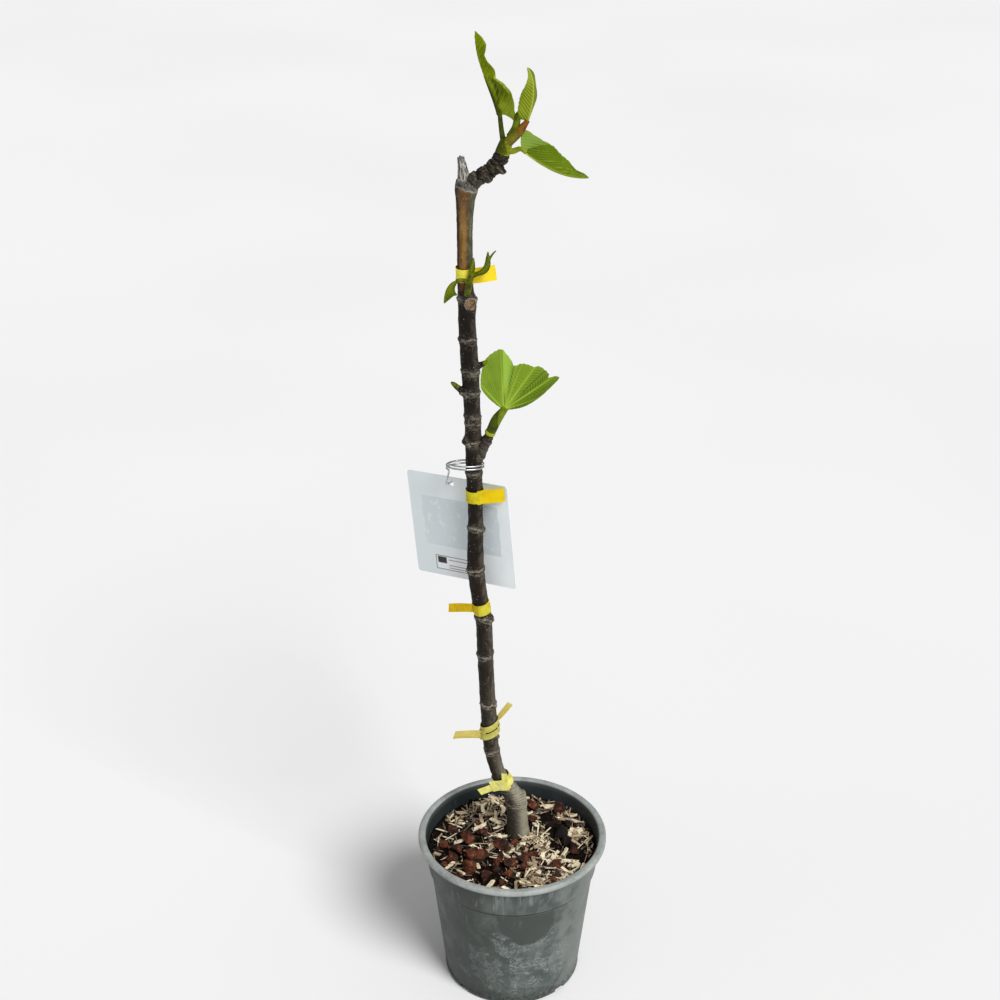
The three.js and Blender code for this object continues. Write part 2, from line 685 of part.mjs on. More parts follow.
function labelCard() {
  const corner = 3;
  const shape = new THREE.Shape();
  const x = CARD_WIDTH / 2;
  const y = CARD_HEIGHT / 2;
  shape.moveTo(-x + corner, -y);
  shape.absarc(x - corner, -y + corner, corner, -Math.PI / 2, 0, false);
  shape.absarc(x - corner, y - corner, corner, 0, Math.PI / 2, false);
  shape.absarc(-x + corner, y - corner, corner, Math.PI / 2, Math.PI, false);
  shape.absarc(-x + corner, -y + corner, corner, Math.PI, 1.5 * Math.PI, false);
  const holeY = y - CARD_HOLE_DROP;
  const fullTurn = 2 * Math.PI;
  shape.holes.push(new THREE.Path().absarc(CARD_HOLE_X, holeY, CARD_HOLE_RADIUS, 0, fullTurn, true));
  const settings = { depth: CARD_THICKNESS, bevelEnabled: false, curveSegments: 6 };
  const sheet = new THREE.ExtrudeGeometry(shape, settings);
  return solid(sheet.translate(0, 0, -CARD_THICKNESS / 2).applyMatrix4(cardPlace()));
}

const WIRE_Z = 578.9;
const WIRE_TURNS = 2;
const WIRE_HALF_LENGTH = 17;
const WIRE_PITCH = 3;
const WIRE_TILT = 0.1;          // rise of the loop's front for each mm towards the front

// The loops of the wire round the trunk, as a long oval with the trunk in its right-hand end.
function wireLoops() {
  const { centre, radius } = trunkRing(WIRE_Z);
  const beside = radius + GAP + WIRE_RADIUS;
  const halfDepth = beside + 2.2;
  const middleX = centre.x - WIRE_HALF_LENGTH + beside + 0.3;
  const steps = 17 * WIRE_TURNS;
  const points = [];
  for (let i = 0; i <= steps; i += 1) {
    const angle = Math.PI * (1 + 2 * WIRE_TURNS * i / steps) + 0.5;
    const forward = -halfDepth * Math.sin(angle);
    const drop = WIRE_PITCH * WIRE_TURNS * (0.5 - i / steps);
    const x = middleX + WIRE_HALF_LENGTH * Math.cos(angle);
    points.push(vec(x, centre.y - forward, WIRE_Z + drop + WIRE_TILT * forward));
  }
  return points;
}

// The wire goes round the trunk and then down through the card's hole.
function labelWire() {
  const hookY = CARD_HEIGHT / 2 - CARD_HOLE_DROP + CARD_HOLE_RADIUS - WIRE_RADIUS - GAP;
  const throughHole = [[3.6, 9], [1.2, 3.5], [0, 0], [-0.8, -3.4]]
    .map(([up, out]) => vec(CARD_HOLE_X, hookY + up, out).applyMatrix4(cardPlace()));
  const extrudePath = new THREE.CatmullRomCurve3([...wireLoops(), ...throughHole]);
  const section = new THREE.Shape().absarc(0, 0, WIRE_RADIUS, 0, 2 * Math.PI, false);
  const settings = { steps: 64, extrudePath, curveSegments: 3, bevelEnabled: false };
  return solid(new THREE.ExtrudeGeometry(section, settings));
}

// ---------------------------------------------------------------- compost and mulch

// Bark chunks lying in the mulch: [x, y, size].
const BARK = [
  [-61, 19, 6], [-46, 4, 8.4], [-38, -24, 10], [-62, -28, 7], [-57, -14, 7],
  [-16, -36, 6.4], [-2, -34, 6.4], [11, -25, 7], [-11, -5, 7], [-26, -55, 7],
  [20, 59, 7.4], [50, 56, 7.4], [58, 30, 5], [43, -38, 6], [22, -20, 5.4],
];
const MULCH_CHIPS = 38;
const MULCH_REACH = 74;
const FOOT_CLEARING = 25;       // radius round the trunk's foot with no chip's centre in it

// The strip of bare compost to the right of the trunk: its two ends and half width.
const BARE_FROM = new THREE.Vector2(33, 44);
const BARE_TO = new THREE.Vector2(72, -30);
const BARE_HALF_WIDTH = 10;

function onBareStrip(x, y) {
  const run = BARE_TO.clone().sub(BARE_FROM);
  const point = new THREE.Vector2(x, y).sub(BARE_FROM);
  const s = THREE.MathUtils.clamp(point.dot(run) / run.lengthSq(), 0, 1);
  return point.distanceTo(run.multiplyScalar(s)) < BARE_HALF_WIDTH;
}

function barkChunk([x, y, size], random) {
  const chunk = new THREE.IcosahedronGeometry(1, 0)
    .scale(size, size * (0.7 + 0.3 * random()), size * 0.55)
    .rotateX(0.5 * (random() - 0.5))
    .rotateZ(2 * Math.PI * random())
    .translate(x, y, COMPOST_Z + 0.12 * size);
  return solid(chunk);
}

function woodChip(random) {
  const reach = Math.sqrt(random()) * MULCH_REACH;
  const turn = 2 * Math.PI * random();
  const x = reach * Math.cos(turn);
  const y = reach * Math.sin(turn);
  const chip = new THREE.BoxGeometry(10 + 10 * random(), 2.6 + 2.4 * random(), 2 + random())
    .rotateY(0.5 * (random() - 0.5))
    .rotateZ(Math.PI * random())
    .translate(x, y, COMPOST_Z + 0.4 + 0.5 * random());
  const [, footX, footY] = TRUNK[0];
  const underTrunk = Math.hypot(x - footX, y - footY) < FOOT_CLEARING;
  return underTrunk || onBareStrip(x, y) ? null : solid(chip);
}

// The compost's body: it fills the pot to ground level, a little clear of the wall.
function compostFill(clear) {
  const wall = insideWall(clear).filter(([, z]) => z < COMPOST_Z);
  const foot = POT_FLOOR + GAP;
  const top = [[insideRadius(COMPOST_Z, clear), COMPOST_Z], [0, COMPOST_Z]];
  return turned([[0, foot], [wall[0][0], foot], ...wall.slice(1), ...top], COMPOST_SIDES);
}

// The room that the mulch keeps to, up to just under the lip.
function mulchRoom(clear) {
  const wall = insideWall(clear).filter(([, z]) => z < LIP_UNDER_Z);
  const foot = POT_FLOOR + GAP;
  const top = LIP_UNDER_Z - 1;
  const roof = [[insideRadius(top, clear), top], [0, top]];
  return turned([[0, foot], [wall[0][0], foot], ...wall.slice(1), ...roof], COMPOST_SIDES);
}

function compost() {
  const clear = GAP + 0.1;
  const random = stream(4711);
  const chips = BARK.map((chunk) => barkChunk(chunk, random));
  while (chips.length < BARK.length + MULCH_CHIPS) {
    const chip = woodChip(random);
    if (chip) chips.push(chip);
  }
  const mulch = joined(chips).intersect(mulchRoom(clear));
  return joined([compostFill(clear), mulch]).subtract(trunkRoom);
}

// ---------------------------------------------------------------- the whole plant

const fig = new THREE.Group();
fig.name = 'potted_fig_tree';

fig.add(
  named('pot', pot(), 0x5f6a69, 0.6),
  named('compost', compost(), 0x3a2b22, 0.95),
  named('trunk', trunk(), 0x4c4038, 0.85),
  named('bough_top', topBough(), 0x4a3c32, 0.85),
  named('bough_mid', midBough(), 0x57493d, 0.85),
  named('foliage_top', topFoliage(), 0x7da01e, 0.5),
  named('foliage_upper', upperFoliage(), 0x5d7d12, 0.5),
  named('foliage_mid', midFoliage(), 0x76a336, 0.5),
  ...TIES.map((row, i) => named(`tie_${i + 1}`, tie(row), 0xe8dc2c, 0.5)),
  named('label_card', labelCard(), 0xd9dfe2, 0.45),
  named('label_wire', labelWire(), 0xb9bcbe, 0.35),
);

export default fig;
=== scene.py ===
"""Looks of the young fig tree in its nursery pot.

Lengths in this file are millimetres, and MM turns them into Blender's metres when a mesh is made.
Only the finishes compare a piece's own coordinates with metres.
The plant stands on Z = 0 with its front towards -Y. Every random choice has a fixed seed.
"""

import math

import bmesh
import bpy
import numpy as np
from mathutils import Matrix, Vector, noise


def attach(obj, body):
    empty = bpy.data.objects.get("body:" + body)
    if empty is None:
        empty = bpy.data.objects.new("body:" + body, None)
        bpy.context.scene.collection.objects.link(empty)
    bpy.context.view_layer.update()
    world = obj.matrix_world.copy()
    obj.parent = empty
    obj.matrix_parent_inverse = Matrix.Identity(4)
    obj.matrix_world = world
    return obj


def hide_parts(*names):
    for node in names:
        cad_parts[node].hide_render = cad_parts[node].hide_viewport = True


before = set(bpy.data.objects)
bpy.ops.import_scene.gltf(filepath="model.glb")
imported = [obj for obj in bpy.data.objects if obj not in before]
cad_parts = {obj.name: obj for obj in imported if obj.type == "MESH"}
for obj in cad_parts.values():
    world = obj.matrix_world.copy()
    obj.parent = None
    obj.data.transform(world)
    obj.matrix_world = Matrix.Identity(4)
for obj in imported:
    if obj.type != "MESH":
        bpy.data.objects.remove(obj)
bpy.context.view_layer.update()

MM = 0.001
BODY = "root"

# ---- sizes shared with the solids

POT_HEIGHT = 166.5
POT_RIM_RADIUS = 95.4
POT_BASE_RADIUS = 69.3
POT_TAPER = 0.107
POT_WALL = 1.6
POT_FLOOR = 2.4
SHOULDER_Z = 129
LIP_WIDTH = 7.6
LIP_DEPTH = 6.2
GROUND_Z = 149
TRUNK_FOOT_Z = 149.3
TRUNK_TOP_Z = 848

# The trunk's centre line and radius: height, x, y, radius.
TRUNK = [
    (149.3, 5.8, 20.5, 12.8), (160, 5.6, 20, 11.3), (178, 5, 19.5, 10.4), (192, 3.4, 19.2, 10.4),
    (204, -1.6, 18.8, 9.8), (217, -8.8, 18.2, 8.4), (230, -14.8, 17.5, 7.5), (244, -18.4, 16.8, 7.5),
    (263, -21.4, 16, 7.7), (293, -23.2, 14.8, 7.7), (353, -26, 12.5, 7.7), (414, -28.2, 10, 7.8),
    (434, -31.4, 9.2, 7.8), (471, -35.2, 8, 7.9), (532, -35.2, 6.8, 6.9), (570, -36, 6.4, 7.4),
    (634, -37.4, 5.8, 7.4), (673, -39, 5.4, 7.9), (721, -41.4, 5.2, 7.7), (738, -41, 5.2, 8.1),
    (750, -42.3, 5.2, 7.1), (803, -42.6, 5.5, 6.8), (829, -41.8, 5.8, 8.1), (841, -40.8, 6, 9.9),
    (848, -41.8, 6, 8),
]

# Leaf nodes: height, swelling, the side of the old leaf's scar in degrees, and the scar's size.
NODES = [
    (190, 0.5, -60, 0), (210, 0.4, 150, 0), (257, 0.6, -100, 0.4), (280, 0.9, -20, 0),
    (314, 0.9, -62, 0.9), (374, 0.9, -115, 0.9), (415, 1.2, -35, 0.4), (470, 0.9, 215, 0.3),
    (515, 1.0, -50, 0.6), (572, 0.6, 170, 0), (606, 1.1, 215, 0.8), (622, 0.5, -60, 0),
    (629.5, 0.6, -40, 0), (653, 0.9, 210, 0.8), (674, 0.7, -20, 0.3), (704, 0.6, 185, 0.3),
    (742, 1.2, -66, 0),
]
NODE_SPREAD = 2.6

OLD_STUMP = [(6.2, 19.6, 182), (6.6, 19.6, 192), (7.2, 19.6, 201.5)]
OLD_STUMP_RADII = [8.8, 8.2, 6.6]
DEAD_TIP = [(-43, 6, 844), (-43.2, 6, 851), (-44.2, 6, 860), (-45.5, 6, 868.6)]
DEAD_TIP_RADII = [6.2, 5.2, 3.9, 2.9]

# Buds and knobs: foot, tip, foot radius.
BUDS = [
    ((-44, 4.6, 652), (-55, 2, 662.5), 3),
    ((-34, 3.6, 677), (-24.6, 2, 683), 3),
    ((-24.5, 5.5, 411), (-19.4, 3.6, 419.5), 3.2),
    ((-40, 3, 604), (-46, -1.5, 607), 4),
    ((-31, 3.6, 513), (-27.6, -0.8, 516.5), 3.4),
    ((-25.5, 8, 371), (-24.6, 3, 374), 3),
    ((-22, 11, 310), (-17, 9, 315), 3.4),
    ((-17, 11, 275.5), (-13.6, 8, 278), 3),
    ((-41, 1.5, 740), (-39.4, -3.4, 739), 5.4),
]

TOP_SPUR = [
    (-38, 5.6, 845), (-30.5, 5, 850), (-21.6, 4.4, 855.6), (-14.4, 3.2, 863.6), (-10.4, 2, 872.4),
]
TOP_SPUR_RADII = [6.6, 7.2, 6.2, 7.6, 6.4, 7.2, 6.2, 6.8, 6.2]
MID_SPUR = [(-33, 5, 586), (-28.8, 3, 594), (-25.6, 1, 603.5), (-22, -1, 613.6)]
MID_SPUR_RADII = [5.6, 5, 4.4, 4.3, 4.8, 4.2]

TAPE_WIDTH = 11.6

CARD_CENTRE = (-48.5, 28.6, 500)
CARD_WIDTH = 106
CARD_HEIGHT = 111
CARD_HOLE = (-6, 48.5)
CARD_HOLE_RADIUS = 2.6
WIRE_RADIUS = 0.85


# ---- numbers and curves

def ease(low, high, value):
    """0 below low, 1 above high, and a soft slope between."""
    s = np.clip((value - low) / (high - low), 0, 1)
    return s * s * (3 - 2 * s)


def bell(distance, width):
    return np.exp(-((distance / width) ** 2))


def unit(vectors):
    return vectors / np.maximum(np.linalg.norm(vectors, axis=-1, keepdims=True), 1e-9)


def through(knots, t, column=1):
    """The smooth value at t through knots (t, value, value, ...), for one column."""
    table = np.array(knots, dtype=float)
    at, value = table[:, 0], table[:, column]
    last = len(at) - 1
    before = np.maximum(np.arange(last + 1) - 1, 0)
    after = np.minimum(np.arange(last + 1) + 1, last)
    slope = (value[after] - value[before]) / (at[after] - at[before])
    t = np.clip(np.asarray(t, dtype=float), at[0], at[-1])
    i = np.clip(np.searchsorted(at, t, side="right") - 1, 0, last - 1)
    span = at[i + 1] - at[i]
    s = (t - at[i]) / span
    start = (2 * s**3 - 3 * s**2 + 1) * value[i] + (s**3 - 2 * s**2 + s) * span * slope[i]
    end = (3 * s**2 - 2 * s**3) * value[i + 1] + (s**3 - s**2) * span * slope[i + 1]
    return start + end


def flowing(points, count):
    """Points along a smooth curve through a few points, the same count from each to the next."""
    knots = np.array(points, dtype=float)
    knots = np.vstack([2 * knots[0] - knots[1], knots, 2 * knots[-1] - knots[-2]])
    t = np.linspace(0, len(points) - 1, count)
    i = np.minimum(t.astype(int), len(points) - 2)
    s = (t - i)[:, None]
    a, b, c, d = (knots[i + k] for k in range(4))
    gaps = [np.sqrt(np.linalg.norm(q - p, axis=1, keepdims=True)) for p, q in ((a, b), (b, c), (c, d))]
    leave = ((b - a) / gaps[0] - (c - a) / (gaps[0] + gaps[1]) + (c - b) / gaps[1]) * gaps[1]
    arrive = ((c - b) / gaps[1] - (d - b) / (gaps[1] + gaps[2]) + (d - c) / gaps[2]) * gaps[1]
    start = (2 * s**3 - 3 * s**2 + 1) * b + (s**3 - 2 * s**2 + s) * leave
    end = (3 * s**2 - 2 * s**3) * c + (s**3 - s**2) * arrive
    return start + end


def tapering(radii, count):
    """A limb's radius at each of its rings, through a short list of radii."""
    steps = np.linspace(0, 1, len(radii))
    return through(list(zip(steps, radii)), np.linspace(0, 1, count))


def rough(points, size, offset=0.0):
    """Soft random relief from -1 to 1 whose bumps are about size across."""
    scaled = np.asarray(points) / size + offset
    return np.array([noise.noise(p) for p in scaled.tolist()])


def trunk_at(z):
    """Centre x and y of the trunk and its radius, with the swellings at its nodes."""
    z = np.asarray(z, dtype=float)
    radius = through(TRUNK, z, 3)
    for height, size, _side, _scar in NODES:
        radius = radius + size * bell(z - height, NODE_SPREAD)
    return through(TRUNK, z, 1), through(TRUNK, z, 2), radius


# ---- meshes

def new_object(name, data):
    """A new object at the origin, linked to the scene."""
    thing = bpy.data.objects.new(name, data)
    bpy.context.scene.collection.objects.link(thing)
    return thing


def piece_from(name, corners, faces, materials=(), smooth=True, edges=()):
    """A new object at the origin whose mesh has these corners, in millimetres."""
    mesh = bpy.data.meshes.new(name)
    mesh.from_pydata((np.asarray(corners) * MM).tolist(), edges, faces)
    for material in materials:
        mesh.materials.append(material)
    mesh.polygons.foreach_set("use_smooth", [smooth] * len(mesh.polygons))
    mesh.update()
    return new_object(name, mesh)


def mark(piece, **marks):
    """Stores one number for each corner, under a name that the finishes read."""
    for name, values in marks.items():
        attribute = piece.data.attributes.new(name, "FLOAT", "POINT")
        attribute.data.foreach_set("value", np.asarray(values, dtype=np.float32))


def read_corners(piece, what):
    """One three-number property of every corner."""
    flat = np.empty(len(piece.data.vertices) * 3)
    piece.data.vertices.foreach_get(what, flat)
    return flat.reshape(-1, 3)


def corners_of(piece):
    return read_corners(piece, "co") / MM


def normals_of(piece):
    return read_corners(piece, "normal")


def move_corners(piece, corners):
    piece.data.vertices.foreach_set("co", (corners * MM).ravel())
    piece.data.update()


def drop(thing):
    mesh = thing.data
    bpy.data.objects.remove(thing)
    bpy.data.meshes.remove(mesh)


def plain(source, name):
    """Turns a source object with modifiers into a plain mesh object, and removes the source."""
    graph = bpy.context.evaluated_depsgraph_get()
    mesh = bpy.data.meshes.new_from_object(source.evaluated_get(graph), depsgraph=graph,
                                           preserve_all_data_layers=True)
    source.modifiers.clear()
    drop(source)
    mesh.name = name
    return new_object(name, mesh)


def merged(shells):
    """Corners and faces of several shells in one list."""
    corners, faces, count = [], [], 0
    for shell_corners, shell_faces, *_marks in shells:
        corners.append(np.asarray(shell_corners))
        faces += [[k + count for k in face] for face in shell_faces]
        count += len(shell_corners)
    return np.vstack(corners), faces


def dress(piece, shells, numbers):
    """Gives each shell of a merged piece the finish of its number."""
    each = [np.full(len(shell[1]), number) for shell, number in zip(shells, numbers)]
    piece.data.polygons.foreach_set("material_index", np.concatenate(each))


def all_round(sides):
    """Evenly spaced directions of a full turn."""
    return np.linspace(0, math.tau, sides, endpoint=False)


def wound(radius, turn, height):
    """Points at a radius and a direction round Z, at a height."""
    return np.stack(np.broadcast_arrays(radius * np.cos(turn), radius * np.sin(turn), height), axis=-1)


def limb(centres, radii, sides):
    """Corners and faces of a closed round limb through ring centres."""
    centres = np.asarray(centres, dtype=float)
    rings = len(centres)
    ahead = unit(np.gradient(centres, axis=0))
    across = unit(np.array([0, 1, 0]) - ahead * ahead[:, 1:2])
    along = np.cross(ahead, across)
    turn = all_round(sides)[None, :, None]
    radii = np.broadcast_to(np.asarray(radii, dtype=float).reshape(rings, -1), (rings, sides))
    spokes = across[:, None] * np.cos(turn) + along[:, None] * np.sin(turn)
    corners = (centres[:, None] + spokes * radii[:, :, None]).reshape(-1, 3)
    return corners, ring_faces(rings, sides)


def ring_faces(rings, sides):
    """Faces between rings of corners, with both ends closed."""
    faces = []
    for i in range(rings - 1):
        for k in range(sides):
            n = (k + 1) % sides
            faces.append([i * sides + k, i * sides + n, (i + 1) * sides + n, (i + 1) * sides + k])
    faces.append(list(range(sides))[::-1])
    faces.append([(rings - 1) * sides + k for k in range(sides)])
    return faces


def shoot(points, radii, rings, sides):
    """Corners and faces of a limb along a smooth curve through a few points."""
    return limb(flowing(points, rings), tapering(radii, rings), sides)


def fused(name, shells, voxel, softness, finish):
    """One skin round several shells that run into each other."""
    source = piece_from(name + "_shells", *merged(shells))
    remesh = source.modifiers.new("fuse", "REMESH")
    remesh.mode = "VOXEL"
    remesh.voxel_size = voxel * MM
    remesh.use_smooth_shade = True
    soften = source.modifiers.new("soften", "SMOOTH")
    soften.factor = 0.5
    soften.iterations = softness
    piece = plain(source, name)
    piece.data.materials.clear()
    piece.data.materials.append(finish)
    return piece


# ---- node trees

def add(tree, kind, settings=None, **inputs):
    """Adds a node. An input is named by its label, or as i0, i1, ... by its place.

    It is given as a plain value, a socket, or a node that stands for its first output.
    """
    node = tree.nodes.new(kind)
    for key, value in (settings or {}).items():
        setattr(node, key, value)
    for key, value in inputs.items():
        numbered = key[0] == "i" and key[1:].isdigit()
        socket = node.inputs[int(key[1:])] if numbered else node.inputs[key.replace("_", " ")]
        if isinstance(value, bpy.types.Node):
            value = value.outputs[0]
        if isinstance(value, bpy.types.NodeSocket):
            tree.links.new(value, socket)
        else:
            socket.default_value = value
    return node


def geo(tree, kind, settings=None, **inputs):
    return add(tree, "GeometryNode" + kind, settings, **inputs)


def new_tree(name, sockets):
    """A geometry tree with named inputs: label, socket type, default."""
    tree = bpy.data.node_groups.new(name, "GeometryNodeTree")
    for label, kind, default in [("Geometry", "Geometry", None), *sockets]:
        socket = tree.interface.new_socket(label, in_out="INPUT", socket_type="NodeSocket" + kind)
        if default is not None:
            socket.default_value = default
    tree.interface.new_socket("Geometry", in_out="OUTPUT", socket_type="NodeSocketGeometry")
    return tree, tree.nodes.new("NodeGroupInput").outputs, tree.nodes.new("NodeGroupOutput").inputs[0]


def end_tree(tree, shape, finish, result):
    """Ends a tree: its shape is smooth, made real and dressed in one finish."""
    smooth = geo(tree, "SetShadeSmooth", Geometry=shape)
    real = geo(tree, "RealizeInstances", Geometry=smooth)
    dressed = geo(tree, "SetMaterial", Geometry=real, Material=finish)
    tree.links.new(dressed.outputs[0], result)
    return tree


def grown(source, tree, name, values):
    """The plain mesh that a tree makes from a source object, with its inputs set by identifier."""
    modifier = source.modifiers.new(tree.name, "NODES")
    modifier.node_group = tree
    for item in tree.interface.items_tree:
        if item.in_out == "INPUT" and item.name in values:
            modifier[item.identifier] = values[item.name]
    return plain(source, name)


def tube_tree():
    """A round tube along each path of edges, as thick as the path's own radius."""
    tree, given, result = new_tree("tube_along_path", [("Sides", "Int", 12), ("Finish", "Material", None)])
    path = geo(tree, "MeshToCurve", Mesh=given["Geometry"])
    radius = geo(tree, "InputNamedAttribute", {"data_type": "FLOAT"}, Name="thickness")
    section = geo(tree, "CurvePrimitiveCircle", Resolution=given["Sides"], Radius=1.0)
    tube = geo(tree, "CurveToMesh", Curve=path, Profile_Curve=section, Scale=radius, Fill_Caps=True)
    return end_tree(tree, tube, given["Finish"], result)


def tubes(name, paths, finish, sides):
    """One piece of round tubes. Each path is its points and its radii, in millimetres."""
    corners, edges, radii = [], [], []
    for points, thickness in paths:
        first = len(corners)
        corners += np.asarray(points).tolist()
        radii += (np.asarray(thickness) * MM).tolist()
        edges += [(first + k, first + k + 1) for k in range(len(points) - 1)]
    source = piece_from(name + "_path", corners, [], edges=edges)
    mark(source, thickness=radii)
    return grown(source, TUBE, name, {"Sides": sides, "Finish": finish})


def drawn(tree, seed, kind, low, high, number):
    """A seeded random value for each point, between two bounds."""
    seed = add(tree, "FunctionNodeHashValue", {"data_type": "INT"}, i1=seed, Seed=number)
    first = {"FLOAT_VECTOR": 0, "FLOAT": 2, "INT": 4}[kind]
    bounds = {f"i{first}": low, f"i{first + 1}": high}
    value = add(tree, "FunctionNodeRandomValue", {"data_type": kind}, Seed=seed, **bounds)
    return value.outputs[first // 2]


def scatter_tree():
    """Small shapes strewn over a surface where its cover allows, in three tints."""
    tree, given, result = new_tree("strewn_over_surface", [
        ("Shapes", "Collection", None), ("Density", "Float", 1.0), ("Seed", "Int", 0),
        ("Smallest", "Vector", (1, 1, 1)), ("Largest", "Vector", (1, 1, 1)), ("Tilt", "Float", 0.2),
        ("Turn", "Float", math.tau), ("Lift", "Float", 0.0),
        ("Finish A", "Material", None), ("Finish B", "Material", None), ("Finish C", "Material", None),
    ])
    seed, tilt = given["Seed"], given["Tilt"]
    cover = geo(tree, "InputNamedAttribute", {"data_type": "FLOAT"}, Name="cover")
    density = add(tree, "ShaderNodeMath", {"operation": "MULTIPLY"}, i0=given["Density"], i1=cover)
    spots = geo(tree, "DistributePointsOnFaces", {"distribute_method": "RANDOM"},
                Mesh=given["Geometry"], Density=density, Seed=seed)
    lift = add(tree, "ShaderNodeVectorMath", {"operation": "SCALE"}, i0=spots.outputs["Normal"],
               Scale=drawn(tree, seed, "FLOAT", 0.0, given["Lift"], 1))
    raised = geo(tree, "SetPosition", Geometry=spots, Offset=lift)
    lean = add(tree, "ShaderNodeMath", {"operation": "MULTIPLY"}, i0=tilt, i1=-1.0).outputs[0]
    angles = add(tree, "ShaderNodeCombineXYZ", X=drawn(tree, seed, "FLOAT", lean, tilt, 2),
                 Y=drawn(tree, seed, "FLOAT", lean, tilt, 3),
                 Z=drawn(tree, seed, "FLOAT", 0.0, given["Turn"], 4))
    turned = add(tree, "FunctionNodeRotateRotation", {"rotation_space": "LOCAL"},
                 Rotation=spots.outputs["Rotation"],
                 Rotate_By=add(tree, "FunctionNodeEulerToRotation", Euler=angles))
    shapes = geo(tree, "CollectionInfo", Collection=given["Shapes"], Separate_Children=True,
                 Reset_Children=True)
    strewn = geo(tree, "InstanceOnPoints", Points=raised, Instance=shapes, Pick_Instance=True,
                 Instance_Index=drawn(tree, seed, "INT", 0, 99, 5), Rotation=turned,
                 Scale=drawn(tree, seed, "FLOAT_VECTOR", given["Smallest"], given["Largest"], 6))
    tinted = geo(tree, "StoreNamedAttribute", {"data_type": "INT", "domain": "INSTANCE"},
                 Geometry=strewn, Name="tint", Value=drawn(tree, seed, "INT", 0, 2, 7))
    last = geo(tree, "RealizeInstances", Geometry=tinted)
    tint = geo(tree, "InputNamedAttribute", {"data_type": "INT"}, Name="tint")
    for number, letter in enumerate("ABC"):
        same = add(tree, "FunctionNodeCompare", {"data_type": "INT", "operation": "EQUAL"},
                   i2=tint, i3=number)
        last = geo(tree, "SetMaterial", Geometry=last, Selection=same,
                   Material=given["Finish " + letter])
    tree.links.new(last.outputs[0], result)
    return tree


def strewn(name, surface, shapes, seed, count_per_m2, smallest, largest, finishes, tilt, lift=0.0,
           turn=math.tau):
    """Strews small shapes over a copy of a surface, and leaves one plain mesh."""
    box = bpy.data.collections.new(name + "_shapes")
    for shape in shapes:
        bpy.context.scene.collection.objects.unlink(shape)
        box.objects.link(shape)
    values = {
        "Shapes": box, "Density": float(count_per_m2), "Seed": seed, "Tilt": tilt, "Turn": turn,
        "Smallest": [side * MM for side in smallest], "Largest": [side * MM for side in largest],
        "Lift": lift * MM, "Finish A": finishes[0], "Finish B": finishes[1], "Finish C": finishes[2],
    }
    piece = grown(new_object(name, surface.data.copy()), SCATTER, name, values)
    for shape in shapes:
        drop(shape)
    bpy.data.collections.remove(box)
    return piece


def keep_parts(piece, wanted):
    """Deletes the strewn splinters whose corners don't pass a test."""
    corners_each = 4 * SPLINTER_RINGS
    parts = corners_of(piece).reshape(-1, corners_each, 3)
    refused = np.flatnonzero(np.repeat(~wanted(parts), corners_each))
    shell = bmesh.new()
    shell.from_mesh(piece.data)
    shell.verts.ensure_lookup_table()
    bmesh.ops.delete(shell, geom=[shell.verts[k] for k in refused], context="VERTS")
    shell.to_mesh(piece.data)
    shell.free()


# ---- finishes

